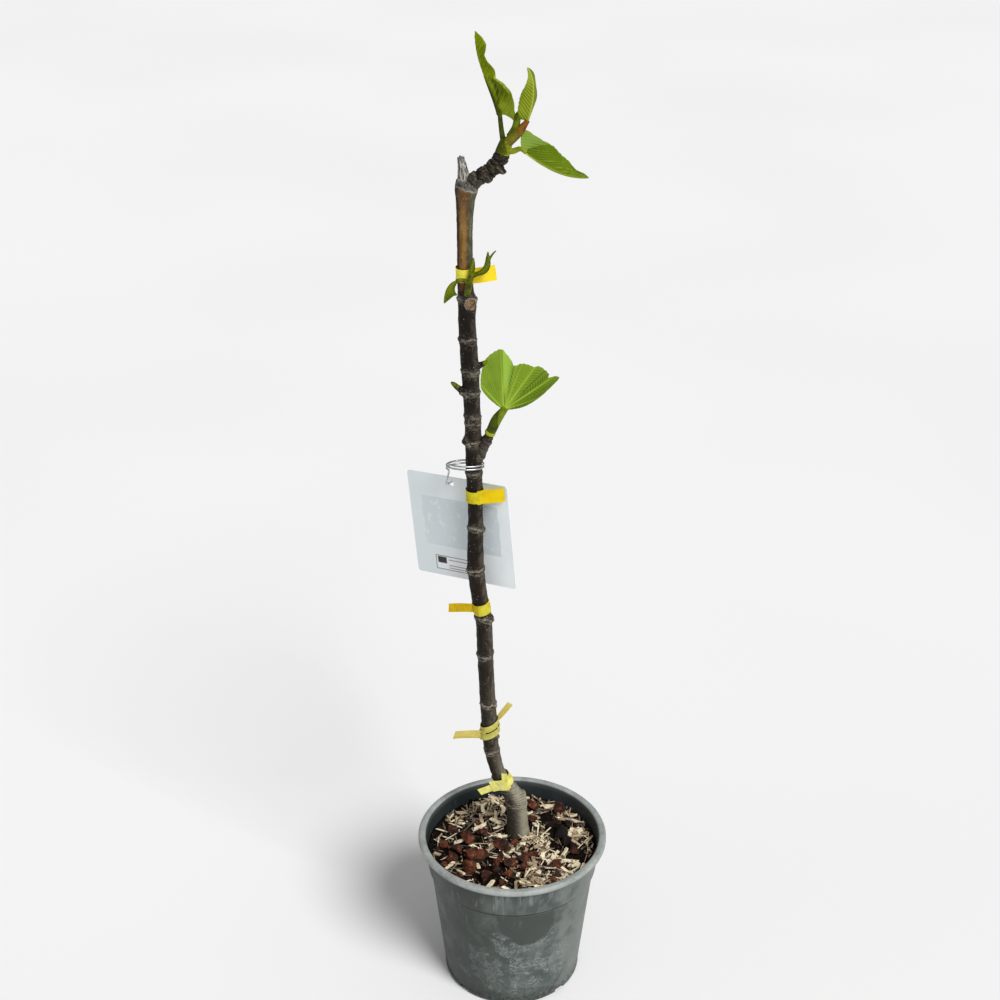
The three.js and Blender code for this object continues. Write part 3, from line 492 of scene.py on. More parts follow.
class Finish:
    """A material, with short calls for the nodes that the finishes here are made of."""

    def __init__(self, name, roughness=0.6, specular=0.5, metallic=0.0):
        self.material = bpy.data.materials.new(name)
        self.material.use_nodes = True
        self.tree = self.material.node_tree
        self.shader = self.tree.nodes["Principled BSDF"]
        self.shader.inputs["Roughness"].default_value = roughness
        self.shader.inputs["Specular IOR Level"].default_value = specular
        self.shader.inputs["Metallic"].default_value = metallic
        self.place = self.node("TexCoord", out="Object")

    def node(self, kind, settings=None, out=0, **inputs):
        """Adds a shader node and gives one of its outputs."""
        return add(self.tree, "ShaderNode" + kind, settings, **inputs).outputs[out]

    def done(self, colour, relief=None, roughness=None):
        """Links what the shader reads, and hands over the material."""
        for label, value in (("Base Color", colour), ("Normal", relief), ("Roughness", roughness)):
            if value is not None:
                self.tree.links.new(value, self.shader.inputs[label])
        return self.material

    def stretched(self, x, y, z):
        """Object coordinates, stretched for patterns that run along the piece."""
        return self.node("Mapping", i0=self.place, Scale=(x, y, z))

    def cloud(self, size, detail=3.0, roughness=0.55, place=None, distortion=0.0):
        """Soft noise whose patches are about size millimetres across."""
        return self.node("TexNoise", Vector=place or self.place, Scale=1 / (size * MM),
                         Detail=detail, Roughness=roughness, Distortion=distortion)

    def drift(self, size, detail, reach):
        """A soft random offset, up to about reach either way."""
        return self.slope(self.cloud(size, detail), 0.2, 0.8, -reach, reach)

    def threads(self, pattern, outer, inner):
        """Thin lines where a soft pattern passes its middle value."""
        apart = self.sum("ABSOLUTE", self.sum("SUBTRACT", pattern, 0.5), 0.0)
        return self.slope(apart, outer, inner)

    def cells(self, size, feature="F1"):
        """Distance to the nearest of scattered points about size millimetres apart."""
        return self.node("TexVoronoi", {"feature": feature}, Vector=self.place, Scale=1 / (size * MM))

    def marks(self, name):
        return self.node("Attribute", {"attribute_name": name}, "Fac")

    def slope(self, value, low, high, to_low=0.0, to_high=1.0):
        """A soft step of a value, from one level to another."""
        return self.node("MapRange", {"interpolation_type": "SMOOTHSTEP"}, Value=value,
                         i1=low, i2=high, i3=to_low, i4=to_high)

    def sum(self, operation, a, b):
        return self.node("Math", {"operation": operation}, i0=a, i1=b)

    def times(self, a, b):
        return self.sum("MULTIPLY", a, b)

    def axis(self, label, place=None):
        return self.node("SeparateXYZ", out=label, i0=place or self.place)

    def spot(self, centre, size, edge, wobble=None):
        """1 inside an ellipsoid about a centre, 0 outside it, with a soft edge."""
        away = self.place
        for operation, bound in (("SUBTRACT", centre), ("DIVIDE", size)):
            away = self.node("VectorMath", {"operation": operation}, i0=away, i1=[c * MM for c in bound])
        away = self.node("VectorMath", {"operation": "LENGTH"}, "Value", i0=away)
        if wobble is not None:
            away = self.sum("ADD", away, wobble)
        return self.slope(away, 1 - edge, 1 + edge, 1.0, 0.0)

    def ramp(self, value, *stops):
        """Colours along a value, each stop with its place and its colour."""
        node = add(self.tree, "ShaderNodeValToRGB", Fac=value)
        elements = node.color_ramp.elements
        while len(elements) < len(stops):
            elements.new(0.5)
        for element, (position, colour) in zip(elements, stops):
            element.position = position
            element.color = (*colour, 1)
        return node.outputs["Color"]

    def coated(self, colour, *coats):
        """A colour under further coats. Each coat is where it covers, from 0 to 1, and its colour."""
        for cover, coat in coats:
            a, b = ((*c, 1) if isinstance(c, tuple) else c for c in (colour, coat))
            colour = self.node("Mix", {"data_type": "RGBA"}, 2, i0=cover, i6=a, i7=b)
        return colour

    def relief(self, height, depth, strength=1.0, under=None):
        """A bump of a height from 0 to 1, depth millimetres deep."""
        inputs = {"Height": height, "Distance": depth * MM, "Strength": strength}
        if under is not None:
            inputs["Normal"] = under
        return self.node("Bump", **inputs)


def pot_finish():
    """Grey-green moulded plastic, hazed by lime, washed clean in one patch and crusted under it, with
    painted shade on its left side, on its inner wall and under the shoulder ledge (where dirt also sits),
    and painted light on its right side.
    """
    f = Finish("grey_pot_plastic", specular=0.3)
    height = f.axis("Z")
    haze = f.cloud(30, 5, 0.6)
    smears = f.cloud(14, 5, 0.65, place=f.stretched(1, 1, 0.35), distortion=0.5)
    side_for_painted_light = f.sum("ADD", f.axis("X"), f.drift(22, 4, 0.02))
    clean = f.times(f.spot((14, -83, 120), (30, 40, 35), 0.05, f.drift(12, 4, 0.09)),
                    f.slope(height, 0.1262, 0.1254))
    crust = pot_crust(f, clean, smears)
    foot_dirt = f.times(f.slope(height, 0.022, 0.004), f.slope(f.cloud(4.2, 6, 0.72), 0.4, 0.6))
    # Painted shade under the shoulder ledge's overhang, along with dirt where the collar meets the body, as
    # a thin dark line below the ledge.
    ledge_shade_and_dirt = f.times(f.slope(height, 0.1262, 0.127), f.slope(height, 0.1292, 0.1286))
    # Painted shade on the inner wall: the inside of the pot above the compost is darker.
    flat = f.node("VectorMath", {"operation": "MULTIPLY"}, i0=f.place, i1=(1, 1, 0))
    reach = f.node("VectorMath", {"operation": "LENGTH"}, "Value", i0=flat)
    inner = f.sum("SUBTRACT", f.sum("SUBTRACT", reach, f.times(height, POT_TAPER)), POT_BASE_RADIUS * MM)
    inside = f.times(f.slope(inner, 0.0016, 0.0008), f.slope(height, 0.128, 0.132))
    body = f.coated(
        f.ramp(haze, (0.3, (0.044, 0.056, 0.05)), (0.5, (0.068, 0.083, 0.075)),
               (0.72, (0.1, 0.118, 0.108))),
        (f.slope(smears, 0.5, 0.58, 0.0, 0.5), (0.125, 0.143, 0.134)),
        (f.slope(smears, 0.42, 0.36, 0.0, 0.5), (0.036, 0.045, 0.041)),
        # Painted shade on the pot's left side, and painted light on its right side.
        (f.slope(side_for_painted_light, 0.0, -0.045, 0.0, 0.68), (0.03, 0.036, 0.031)),
        (f.slope(side_for_painted_light, 0.038, 0.062, 0.0, 0.6), (0.19, 0.21, 0.195)),
        (clean, (0.048, 0.057, 0.052)),
        (f.times(crust, 0.9), (0.27, 0.3, 0.29)),
        (pot_runs(f, height), (0.2, 0.225, 0.215)),
        (f.times(foot_dirt, 0.8), (0.014, 0.016, 0.014)),
        (f.slope(height, 0.1598, 0.1606), pot_lip(f, height)),
        (f.times(ledge_shade_and_dirt, 0.9), (0.012, 0.014, 0.013)),
        (f.times(inside, 0.85), (0.02, 0.027, 0.031)))
    grain = f.relief(f.cloud(0.9, 2), 0.05, 0.5)
    return f.done(body, f.relief(crust, 0.3, 0.8, grain), f.slope(haze, 0.3, 0.7, 0.42, 0.62))


def pot_crust(f, clean, smears):
    """Branching strokes of lime under the clean patch, and fainter ones elsewhere."""
    zone = f.spot((16, -74, 58), (46, 50, 44), 0.5, f.slope(smears, 0.25, 0.75, -0.45, 0.45))
    zone = f.times(zone, f.sum("SUBTRACT", 1.0, clean))
    elsewhere = f.slope(f.cloud(46, 3), 0.52, 0.66, 0.0, 0.7)
    zone = f.sum("MAXIMUM", zone, f.times(elsewhere, f.slope(f.axis("Z"), 0.126, 0.09)))
    curls = f.cloud(6.5, 5, 0.7, place=f.stretched(0.75, 0.75, 1.2), distortion=1.2)
    specks = f.slope(f.cloud(2.6, 6, 0.8), 0.51, 0.57)
    patches = f.slope(f.cloud(15, 5, 0.65, distortion=0.5), 0.44, 0.56, 0.05, 1.0)
    strokes = f.sum("MAXIMUM", f.times(f.threads(curls, 0.05, 0.012), 0.8), specks)
    return f.times(f.times(strokes, patches), zone)


def pot_runs(f, height):
    """Pale runs of dried water down the collar and the upper wall."""
    streaks = f.cloud(6, 3, place=f.stretched(1, 1, 0.1))
    runs = f.times(f.slope(streaks, 0.55, 0.68), f.slope(height, 0.095, 0.14, 0.0, 0.7))
    return f.times(runs, f.slope(f.cloud(36, 1), 0.5, 0.62))


def pot_lip(f, height):
    """The lip's worn, dusty grey, palest on top, with painted shade on its lower part and a painted
    highlight at its front.
    """
    dust = f.sum("ADD", f.times(f.cloud(16, 5, 0.65), 0.6), f.times(f.cloud(2.4, 4, 0.7), 0.4))
    # A painted highlight at the lip's front, where it would catch a reflection.
    front = f.spot((10, -95, 166), (46, 14, 9), 0.6, f.slope(dust, 0.3, 0.7, -0.3, 0.3))
    return f.coated(
        f.ramp(dust, (0.32, (0.19, 0.21, 0.2)), (0.5, (0.31, 0.335, 0.32)), (0.7, (0.45, 0.475, 0.45))),
        # Painted shade on the lower part of the lip.
        (f.slope(height, 0.1636, 0.1612, 0.0, 0.65), (0.1, 0.115, 0.11)),
        (f.times(front, 0.2), (0.55, 0.57, 0.54)))


def soil_finish(name, dark, light, size):
    """Dark, damp, crumbly compost."""
    f = Finish(name, roughness=0.95, specular=0.1)
    soil = f.ramp(f.cloud(size, 4, 0.65), (0.34, dark), (0.75, light))
    return f.done(soil, f.relief(f.cloud(size * 0.4, 4, 0.7), 0.8))


def wood_finish(name, pale, deep):
    """Chipped wood with a fine grain along each flake."""
    f = Finish(name, roughness=0.8, specular=0.25)
    wood = f.ramp(f.cloud(4.5, 4, 0.7), (0.34, deep), (0.62, pale))
    return f.done(wood, f.relief(f.cloud(0.7, 2), 0.12, 0.8))


def chunk_finish():
    """Red-brown pine bark, layered and broken, some pieces dark and some orange, blackened by wet."""
    f = Finish("red_brown_bark_chunks", roughness=0.8, specular=0.2)
    layers = f.cloud(2.8, 4, 0.7, place=f.stretched(0.5, 0.5, 1.6), distortion=0.6)
    dark = f.ramp(layers, (0.3, (0.006, 0.003, 0.002)), (0.5, (0.03, 0.012, 0.008)),
                  (0.7, (0.1, 0.04, 0.024)))
    warm = f.ramp(layers, (0.3, (0.022, 0.006, 0.003)), (0.46, (0.075, 0.02, 0.009)),
                  (0.6, (0.16, 0.046, 0.02)), (0.75, (0.33, 0.15, 0.085)))
    wet = f.times(f.spot((52, 8, 152), (19, 34, 16), 0.2), 0.9)
    chunk = f.coated(dark, (f.slope(f.cloud(13, 1), 0.46, 0.56), warm), (wet, (0.006, 0.005, 0.005)))
    return f.done(chunk, f.relief(layers, 0.9))


def bark_finish(name, stops, ring=(0.36, 0.32, 0.255), scar=(0.03, 0.02, 0.014)):
    """Fig bark: its colour changes along the trunk, with pale ring lines and dark leaf scars. Painted light
    brightens its right side, most at the foot, and the crests of the foot's wrinkles; painted shade darkens
    its left side, the sides of the amber top and its grooves.
    """
    f = Finish(name, specular=0.12)
    height = f.axis("Z")
    low, high = stops[0][0], stops[-1][0]
    part = f.node("MapRange", Value=f.sum("ADD", height, f.drift(16, 3, 0.008)),
                  i1=low * MM, i2=high * MM)
    streak = f.cloud(2.6, 4, 0.65, place=f.stretched(1, 1, 0.22))
    patches = f.cloud(9, 5, 0.7, place=f.stretched(1, 1, 0.6), distortion=0.6)
    bloom = f.times(f.slope(patches, 0.52, 0.6), f.slope(height, 0.5, 0.33, 0.2, 0.85))
    # Painted light: the lit mark brightens the right side, and on the foot it makes a pale lit side.
    lit = f.marks("lit")
    painted_lit_foot = f.times(lit, f.slope(height, 0.25, 0.2, 0.0, 0.9))
    cracks = f.times(f.slope(streak, 0.5, 0.34, 0.0, 0.75), f.slope(height, 0.2, 0.24, 0.2, 1.0))
    side = f.ramp(streak, (0.35, (0.035, 0.034, 0.018)), (0.62, (0.13, 0.125, 0.075)))
    cap = f.ramp(f.cloud(2.6, 4, 0.7), (0.34, (0.018, 0.016, 0.014)), (0.52, (0.075, 0.069, 0.06)),
                 (0.7, (0.22, 0.21, 0.19)))
    broken = f.slope(f.cloud(2.2, 4, 0.65), 0.38, 0.54, 0.1, 0.92)
    contour = f.cloud(4.6, 3, 0.6, place=f.stretched(0.8, 0.8, 1.9), distortion=0.5)
    scratches = f.times(f.threads(contour, 0.022, 0.006), f.marks("knot"))
    healed = f.ramp(f.cloud(2.4, 4, 0.7), (0.36, (0.035, 0.017, 0.009)), (0.5, (0.16, 0.088, 0.046)),
                    (0.66, (0.34, 0.22, 0.13)))
    bark = f.coated(
        f.ramp(part, *(((z - low) / (high - low), shade) for z, shade in stops)),
        (f.times(bloom, 0.28), (0.19, 0.165, 0.125)),
        # Painted light on the right side, then a paler foot on that side.
        (f.times(lit, f.slope(patches, 0.4, 0.56, 0.05, 0.4)), (0.13, 0.11, 0.08)),
        (f.times(painted_lit_foot, f.slope(patches, 0.3, 0.55, 0.6, 1.0)), (0.36, 0.34, 0.25)),
        (f.slope(streak, 0.56, 0.74, 0.0, 0.25), (0.17, 0.14, 0.1)),
        (cracks, (0.007, 0.005, 0.004)),
        (f.marks("sun"), ripe_bark(f, height)),
        (f.marks("olive"), side),
        # Painted shade on the sides of the amber top.
        (f.times(f.marks("dusk"), 0.9), (0.02, 0.01, 0.005)),
        # Painted shade on the trunk's left side.
        (f.times(f.marks("dim"), f.slope(height, 0.2, 0.24, 0.75, 0.85)), (0.009, 0.0065, 0.0045)),
        (f.marks("cap"), cap),
        # Pale ring lines, with the painted highlight on the crests of the foot's wrinkles.
        (f.times(f.marks("ring"), broken), ring),
        # Dark leaf scars, and painted shade in grooves and wrinkle troughs.
        (f.times(f.marks("scar"), 0.85), scar),
        (f.times(scratches, 0.75), ring),
        (f.marks("healed"), healed))
    grain = f.relief(streak, 0.4, 0.8)
    return f.done(bark, f.relief(f.cloud(0.8, 3, 0.6), 0.16, 0.7, grain),
                  f.slope(streak, 0.3, 0.7, 0.5, 0.75))


def ripe_bark(f, height):
    """Smooth amber bark, redder towards both ends, with fine pale and dark specks."""
    return f.coated(
        f.ramp(f.cloud(10, 3, 0.5, place=f.stretched(1.6, 1.6, 0.5)), (0.32, (0.15, 0.068, 0.014)),
               (0.5, (0.24, 0.135, 0.032)), (0.68, (0.31, 0.2, 0.06))),
        (f.slope(height, 0.79, 0.755, 0.0, 0.7), (0.2, 0.055, 0.012)),
        (f.slope(height, 0.806, 0.836, 0.0, 0.75), (0.105, 0.042, 0.018)),
        (f.slope(f.cloud(1.3, 4, 0.7), 0.55, 0.68, 0.0, 0.6), (0.42, 0.32, 0.17)),
        (f.slope(f.cloud(1.8, 4, 0.7), 0.45, 0.33, 0.0, 0.7), (0.05, 0.018, 0.006)))


def dead_wood_finish():
    """Grey, split, dry wood at the cut tip, with a pale ragged foot."""
    f = Finish("dead_grey_wood", roughness=0.9, specular=0.15)
    fibre = f.cloud(1.7, 5, 0.75, place=f.stretched(1.3, 1.3, 0.3))
    grey = f.ramp(fibre, (0.38, (0.012, 0.01, 0.009)), (0.46, (0.13, 0.12, 0.105)),
                  (0.54, (0.42, 0.4, 0.36)), (0.66, (0.62, 0.6, 0.55)))
    foot = f.slope(f.axis("Z"), 0.8505, 0.8475, 0.0, 0.55)
    return f.done(f.coated(grey, (foot, (0.62, 0.58, 0.48))), f.relief(fibre, 1.0))


def pore_finish(name, colour):
    f = Finish(name, roughness=0.85, specular=0.2)
    dark = tuple(0.6 * c for c in colour)
    return f.done(f.ramp(f.cloud(1.5, 2), (0.3, dark), (0.7, colour)))


def leaf_finish(name, deep, fresh, vein, under, bright, net=0.35, patch=5.5):
    """Soft fig leaf: pale veins and a fine pale net, painted shade in creases and on turned-away parts,
    pale parts and painted highlights on crests and margins, a matt underside.
    """
    f = Finish(name, specular=0.05)
    mottle = f.cloud(patch, 5, 0.65)
    mesh = f.slope(f.cells(1.7, "DISTANCE_TO_EDGE"), 0.16, 0.04, 0.0, net)
    blade = f.coated(
        f.ramp(mottle, (0.34, deep), (0.66, fresh)),
        (mesh, tuple(min(1, 1.5 * c) for c in fresh)),
        (f.times(f.marks("under"), 0.75), under),
        # Pale parts of the leaf and painted highlights, then painted shade.
        (f.marks("glow"), bright),
        (f.times(f.marks("shade"), 0.85), tuple(0.35 * c for c in deep)),
        (f.times(f.marks("vein"), 0.7), vein))
    grain = f.relief(f.cloud(1.1, 3, 0.6), 0.14, 0.7)
    return f.done(blade, f.relief(mesh, 0.12, 0.6, grain), f.slope(mottle, 0.3, 0.7, 0.42, 0.58))


def stalk_finish(name, low, high, dots, patch=6):
    """A smooth green stalk, faintly freckled."""
    f = Finish(name, roughness=0.5, specular=0.12)
    green = f.ramp(f.cloud(patch, 3), (0.34, low), (0.66, high))
    green = f.coated(green, (f.slope(f.cells(1.8), 0.22, 0.08), dots))
    return f.done(green, f.relief(f.cloud(0.8, 2), 0.08, 0.5))


def tape_finish(name, colour, deep):
    """Thin stretchy tape, slightly creased and dusty."""
    f = Finish(name, roughness=0.55, specular=0.1)
    tape = f.ramp(f.cloud(9, 4, 0.6), (0.3, deep), (0.6, colour))
    specks = f.slope(f.cloud(1.5, 4, 0.7), 0.36, 0.28, 0.0, 0.5)
    creases = f.cloud(1.8, 3, 0.6, place=f.stretched(1, 1, 0.35))
    return f.done(f.coated(tape, (specks, tuple(0.55 * c for c in deep))), f.relief(creases, 0.22, 0.7))


def card_finish():
    """Pale coated card with a faint inset panel and a small plain outlined box, and painted shade towards
    its left side.
    """
    f = Finish("pale_label_card", roughness=0.38, specular=0.45)
    flat = f.node("UVMap", {"uv_map": "print"})
    x, y = f.axis("X", flat), f.axis("Y", flat)
    edge = 0.004

    def box(left, right, bottom, top):
        sides = f.times(f.slope(x, left - edge, left + edge), f.slope(x, right + edge, right - edge))
        ends = f.times(f.slope(y, bottom - edge, bottom + edge), f.slope(y, top + edge, top - edge))
        return f.times(sides, ends)

    edges = f.sum("ADD", x, f.drift(9, 3, 0.012))
    panel = f.times(f.slope(edges, 0.112, 0.128), f.slope(edges, 0.888, 0.872))
    specks = f.times(box(0.13, 0.87, 0.31, 0.77), f.slope(f.cloud(7, 4, 0.6), 0.54, 0.66, 0.0, 0.35))
    paper = f.coated(
        f.ramp(f.cloud(34, 4), (0.3, (0.8, 0.86, 0.88)), (0.7, (0.9, 0.945, 0.965))),
        # Painted shade towards the card's left side.
        (f.slope(x, 0.62, 0.0, 0.0, 0.7), (0.64, 0.71, 0.735)),
        (f.times(f.times(panel, box(0, 1, 0.3, 0.78)), 0.65), (0.58, 0.66, 0.69)),
        (specks, (0.93, 0.96, 0.97)),
        (box(0.2, 0.62, 0.06, 0.2), (0.05, 0.055, 0.06)),
        (box(0.207, 0.613, 0.0665, 0.1935), (0.85, 0.88, 0.89)),
        (box(0.22, 0.31, 0.125, 0.188), (0.01, 0.01, 0.012)),
        *((box(0.33, 0.57, line - 0.0035, line + 0.0035), (0.12, 0.13, 0.14))
          for line in (0.165, 0.11, 0.085)))
    return f.done(paper, f.relief(f.cloud(1.2, 2), 0.03, 0.4))


def wire_finish():
    f = Finish("galvanised_wire", metallic=1.0)
    zinc = f.ramp(f.cloud(2.5, 3), (0.3, (0.42, 0.43, 0.44)), (0.7, (0.7, 0.71, 0.72)))
    return f.done(zinc, roughness=f.slope(f.cloud(3, 3), 0.3, 0.7, 0.24, 0.42))


# ---- pot

def body_radius(z):
    return POT_BASE_RADIUS + POT_TAPER * z


COLLAR_FOOT_RADIUS = body_radius(SHOULDER_Z) + 2.4
COLLAR_TOP_RADIUS = POT_RIM_RADIUS - LIP_WIDTH + 0.9
LIP_UNDER_Z = POT_HEIGHT - LIP_DEPTH
FLARE_FOOT_Z = SHOULDER_Z - 18
POT_SIDES = 176
SECTION_STEP = 9
DRAIN_SLOTS = 8
SLOT_SIZE = (20, 13, 10)


def rounded(corners):
    """An outline whose corners (radius, z, rounding) are eased by short arcs."""
    points = []
    for k, (r, z, rounding) in enumerate(corners):
        here = np.array([r, z], dtype=float)
        if rounding == 0 or k in (0, len(corners) - 1):
            points.append(here)
            continue
        back = unit(np.array(corners[k - 1][:2], dtype=float) - here)
        on = unit(np.array(corners[k + 1][:2], dtype=float) - here)
        for s in (0, 0.25, 0.5, 0.75, 1):
            points.append(here + (1 - s) ** 2 * rounding * back + s**2 * rounding * on)
    return points


def spaced(outline, step):
    """Adds points to the long straight runs of an outline."""
    points = [outline[0]]
    for a, b in zip(outline, outline[1:]):
        parts = max(1, round(np.linalg.norm(b - a) / step))
        points += [a + (b - a) * k / parts for k in range(1, parts + 1)]
    return points


def pot_outline():
    """The pot's section from the axis under its floor, out and up, over the lip and back inside."""
    lip, wall, under = POT_RIM_RADIUS, POT_WALL, LIP_UNDER_Z
    step, flare, collar = body_radius(5), body_radius(FLARE_FOOT_Z), COLLAR_FOOT_RADIUS
    corners = [
        (0, 1.1, 0), (30, 1.1, 0.4), (31, 0.4, 0.4), (62, 0.4, 0.4), (63, 0, 0.3),
        (POT_BASE_RADIUS - 1.4, 0, 0.7), (POT_BASE_RADIUS + 0.2, 2, 0.8),
        (step, 5, 0.5), (step - 0.5, 5.6, 0.4), (flare, FLARE_FOOT_Z, 4),
        (collar - 2.2, SHOULDER_Z - 3, 1.2), (collar - 1.5, SHOULDER_Z, 0.3),
        (collar, SHOULDER_Z + 0.6, 0.4), (COLLAR_TOP_RADIUS, under, 0.8),
        (lip - 1.2, under, 0.6), (lip, under + 1.2, 0.6), (lip, POT_HEIGHT - 1.8, 1),
        (lip - 1.8, POT_HEIGHT, 1), (lip - LIP_WIDTH + 1.6, POT_HEIGHT, 1),
        (lip - LIP_WIDTH, POT_HEIGHT - 1.8, 0.8), (COLLAR_TOP_RADIUS - wall, under, 1),
        (collar - wall, SHOULDER_Z + 1.6, 1), (collar - 2 - wall, SHOULDER_Z - 1, 1),
        (flare - wall, FLARE_FOOT_Z, 2), (body_radius(POT_FLOOR) - wall, POT_FLOOR, 1), (0, POT_FLOOR, 0),
    ]
    return spaced(rounded(corners), SECTION_STEP)


def turned_tree():
    """Turns a section about Z, and cuts evenly spaced drain slots through its foot."""
    tree, given, result = new_tree("turned_pot", [
        ("Points", "Int", 2), ("Sides", "Int", 160), ("Slots", "Int", 8), ("Slot Radius", "Float", 0.07),
        ("Slot Size", "Vector", (1, 1, 1)), ("Finish", "Material", None),
    ])

    def maths(operation, a, b):
        return add(tree, "ShaderNodeMath", {"operation": operation}, i0=a, i1=b)

    def part_turn(number, total):
        return maths("DIVIDE", maths("MULTIPLY", number, math.tau), total)

    index = geo(tree, "InputIndex")
    column = maths("FLOOR", maths("DIVIDE", maths("ADD", index, 0.5), given["Points"]), 0)
    row = maths("SUBTRACT", index, maths("MULTIPLY", column, given["Points"]))
    sheet = geo(tree, "MeshGrid", Size_X=1.0, Size_Y=1.0,
                Vertices_X=maths("ADD", given["Sides"], 1), Vertices_Y=given["Points"])
    on_section = geo(tree, "SampleIndex", {"data_type": "FLOAT_VECTOR", "domain": "POINT"},
                     Geometry=given["Geometry"], Value=geo(tree, "InputPosition"), Index=row)
    placed = add(tree, "ShaderNodeVectorRotate", {"rotation_type": "Z_AXIS"}, Vector=on_section,
                 Angle=part_turn(column, given["Sides"]))
    shell = geo(tree, "SetPosition", Geometry=sheet, Position=placed)
    shell = geo(tree, "MergeByDistance", Geometry=shell, Distance=1e-6)
    block = geo(tree, "MeshCube", Size=given["Slot Size"])
    ring = geo(tree, "MeshCircle", Vertices=given["Slots"], Radius=given["Slot Radius"])
    around = add(tree, "ShaderNodeCombineXYZ", Z=part_turn(index, given["Slots"]))
    blocks = geo(tree, "InstanceOnPoints", Points=ring, Instance=block,
                 Rotation=add(tree, "FunctionNodeEulerToRotation", Euler=around))
    blocks = geo(tree, "RealizeInstances", Geometry=blocks)
    cut = geo(tree, "MeshBoolean", {"operation": "DIFFERENCE"}, i0=shell, i1=blocks)
    return end_tree(tree, cut, given["Finish"], result)


def make_pot():
    section = [(r, 0, z) for r, z in pot_outline()]
    source = piece_from("pot_section", section, [], edges=[(k, k + 1) for k in range(len(section) - 1)])
    pot = grown(source, turned_tree(), "nursery_pot", {
        "Points": len(section), "Sides": POT_SIDES, "Slots": DRAIN_SLOTS, "Finish": pot_finish(),
        "Slot Radius": POT_BASE_RADIUS * MM, "Slot Size": [side * MM for side in SLOT_SIZE],
    })
    outward(pot)
    split_sharp(pot, 42)
    return finished(pot, "pot_plastic", "pot")


def outward(piece):
    """Turns the faces of a closed mesh outwards."""
    shell = bmesh.new()
    shell.from_mesh(piece.data)
    bmesh.ops.remove_doubles(shell, verts=shell.verts, dist=1e-7)
    bmesh.ops.recalc_face_normals(shell, faces=shell.faces)
    shell.to_mesh(piece.data)
    shell.free()


def split_sharp(piece, degrees):
    """Keeps edges sharper than an angle crisp under smooth shading."""
    piece.data.set_sharp_from_angle(angle=math.radians(degrees))


def finished(piece, slot, *nodes):
    """Hands a finished piece over: the body it rides on, and the solids it stands for, which it hides. The
    slot argument is not used.
    """
    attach(piece, BODY)
    if nodes:
        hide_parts(*nodes)
    return piece


# ---- compost and mulch

BED_PROFILE = [(0, 2.7), (67.6, 2.7), (79.2, 111), (81.5, 128), (83.5, 130.6), (85.1, 147)]
BED_RADIUS = 85.2
BARE_FROM = np.array([33, 44])
BARE_TO = np.array([72, -30])
BARE_HALF_WIDTH = 9.5
FOOT_CENTRE = np.array(TRUNK[0][1:3])

# Red-brown bark chunks in the mulch: x, y, size.
CHUNKS = [
    (-61, 19, 6), (-46, 4, 8.4), (-38, -24, 10), (-62, -28, 7), (-57, -14, 7), (-16, -36, 6.4),
    (-2, -34, 6.4), (11, -25, 7), (-11, -5, 7), (-26, -55, 7), (20, 59, 7.4), (50, 56, 7.4),
    (58, 30, 5), (43, -38, 6), (22, -20, 5.4), (41, 30, 6), (50, 14, 7.5), (56, 2, 6), (63, -12, 6.5),
    (-44, -42, 8), (-70, -6, 6), (-30, 12, 6), (-4, -52, 5.5),
]
SMALL_CHUNKS = 30
FOOT_CLEARANCE = 11.8
HEAP_HEIGHT = 10
SPLINTER_RINGS = 4
HULL_SPREAD = 1.24      # a hull of a few points on a ball is smaller than the ball


def from_foot(x, y):
    return np.hypot(x - FOOT_CENTRE[0], y - FOOT_CENTRE[1])


def from_bare_strip(x, y):
    """Distance of a point from the middle of the bare strip beside the trunk."""
    point = np.stack([x, y], axis=-1) - BARE_FROM
    run = BARE_TO - BARE_FROM
    s = np.clip(point @ run / (run @ run), 0, 1)
    return np.linalg.norm(point - s[..., None] * run, axis=-1)


def bed_height(x, y):
    """Ground level over the bed: crumbs, hollows, and a low mound round the trunk's foot."""
    flat = np.stack([x, y, np.zeros_like(x)], axis=-1)
    mound = 1.6 * bell(from_foot(x, y), 24)
    return GROUND_Z + 1.1 * rough(flat, 21) + 0.9 * rough(flat, 7, 3) + 0.6 * rough(flat, 3, 7) + mound


def make_bed():
    """The compost: it fills the pot and shows as dark crumbly ground between the chips."""
    sides, rings = 170, 64
    turn = all_round(sides)
    radii = [r for r, _z in BED_PROFILE[1:]] + list(np.linspace(BED_RADIUS, 1.2, rings))
    corners = [(0, 0, BED_PROFILE[0][1])]
    for number, radius in enumerate(radii):
        x, y = radius * np.cos(turn), radius * np.sin(turn)
        walled = number < len(BED_PROFILE) - 1
        z = np.full(sides, float(BED_PROFILE[number + 1][1])) if walled else bed_height(x, y)
        corners += np.stack([x, y, z], axis=1).tolist()
    corners.append((0, 0, float(bed_height(np.zeros(1), np.zeros(1))[0])))
    count = len(radii)
    faces = [[0, 1 + (k + 1) % sides, 1 + k] for k in range(sides)]
    faces += [[k + 1 for k in face] for face in ring_faces(count, sides)[:-2]]
    top, first = len(corners) - 1, 1 + (count - 1) * sides
    faces += [[first + k, first + (k + 1) % sides, top] for k in range(sides)]
    bed = piece_from("compost_bed", corners, faces,
                     [soil_finish("damp_compost", (0.002, 0.0016, 0.0013), (0.014, 0.0095, 0.0065), 4)])
    mark(bed, cover=np.zeros(len(bed.data.vertices)))
    return finished(bed, "compost_mulch", "compost")


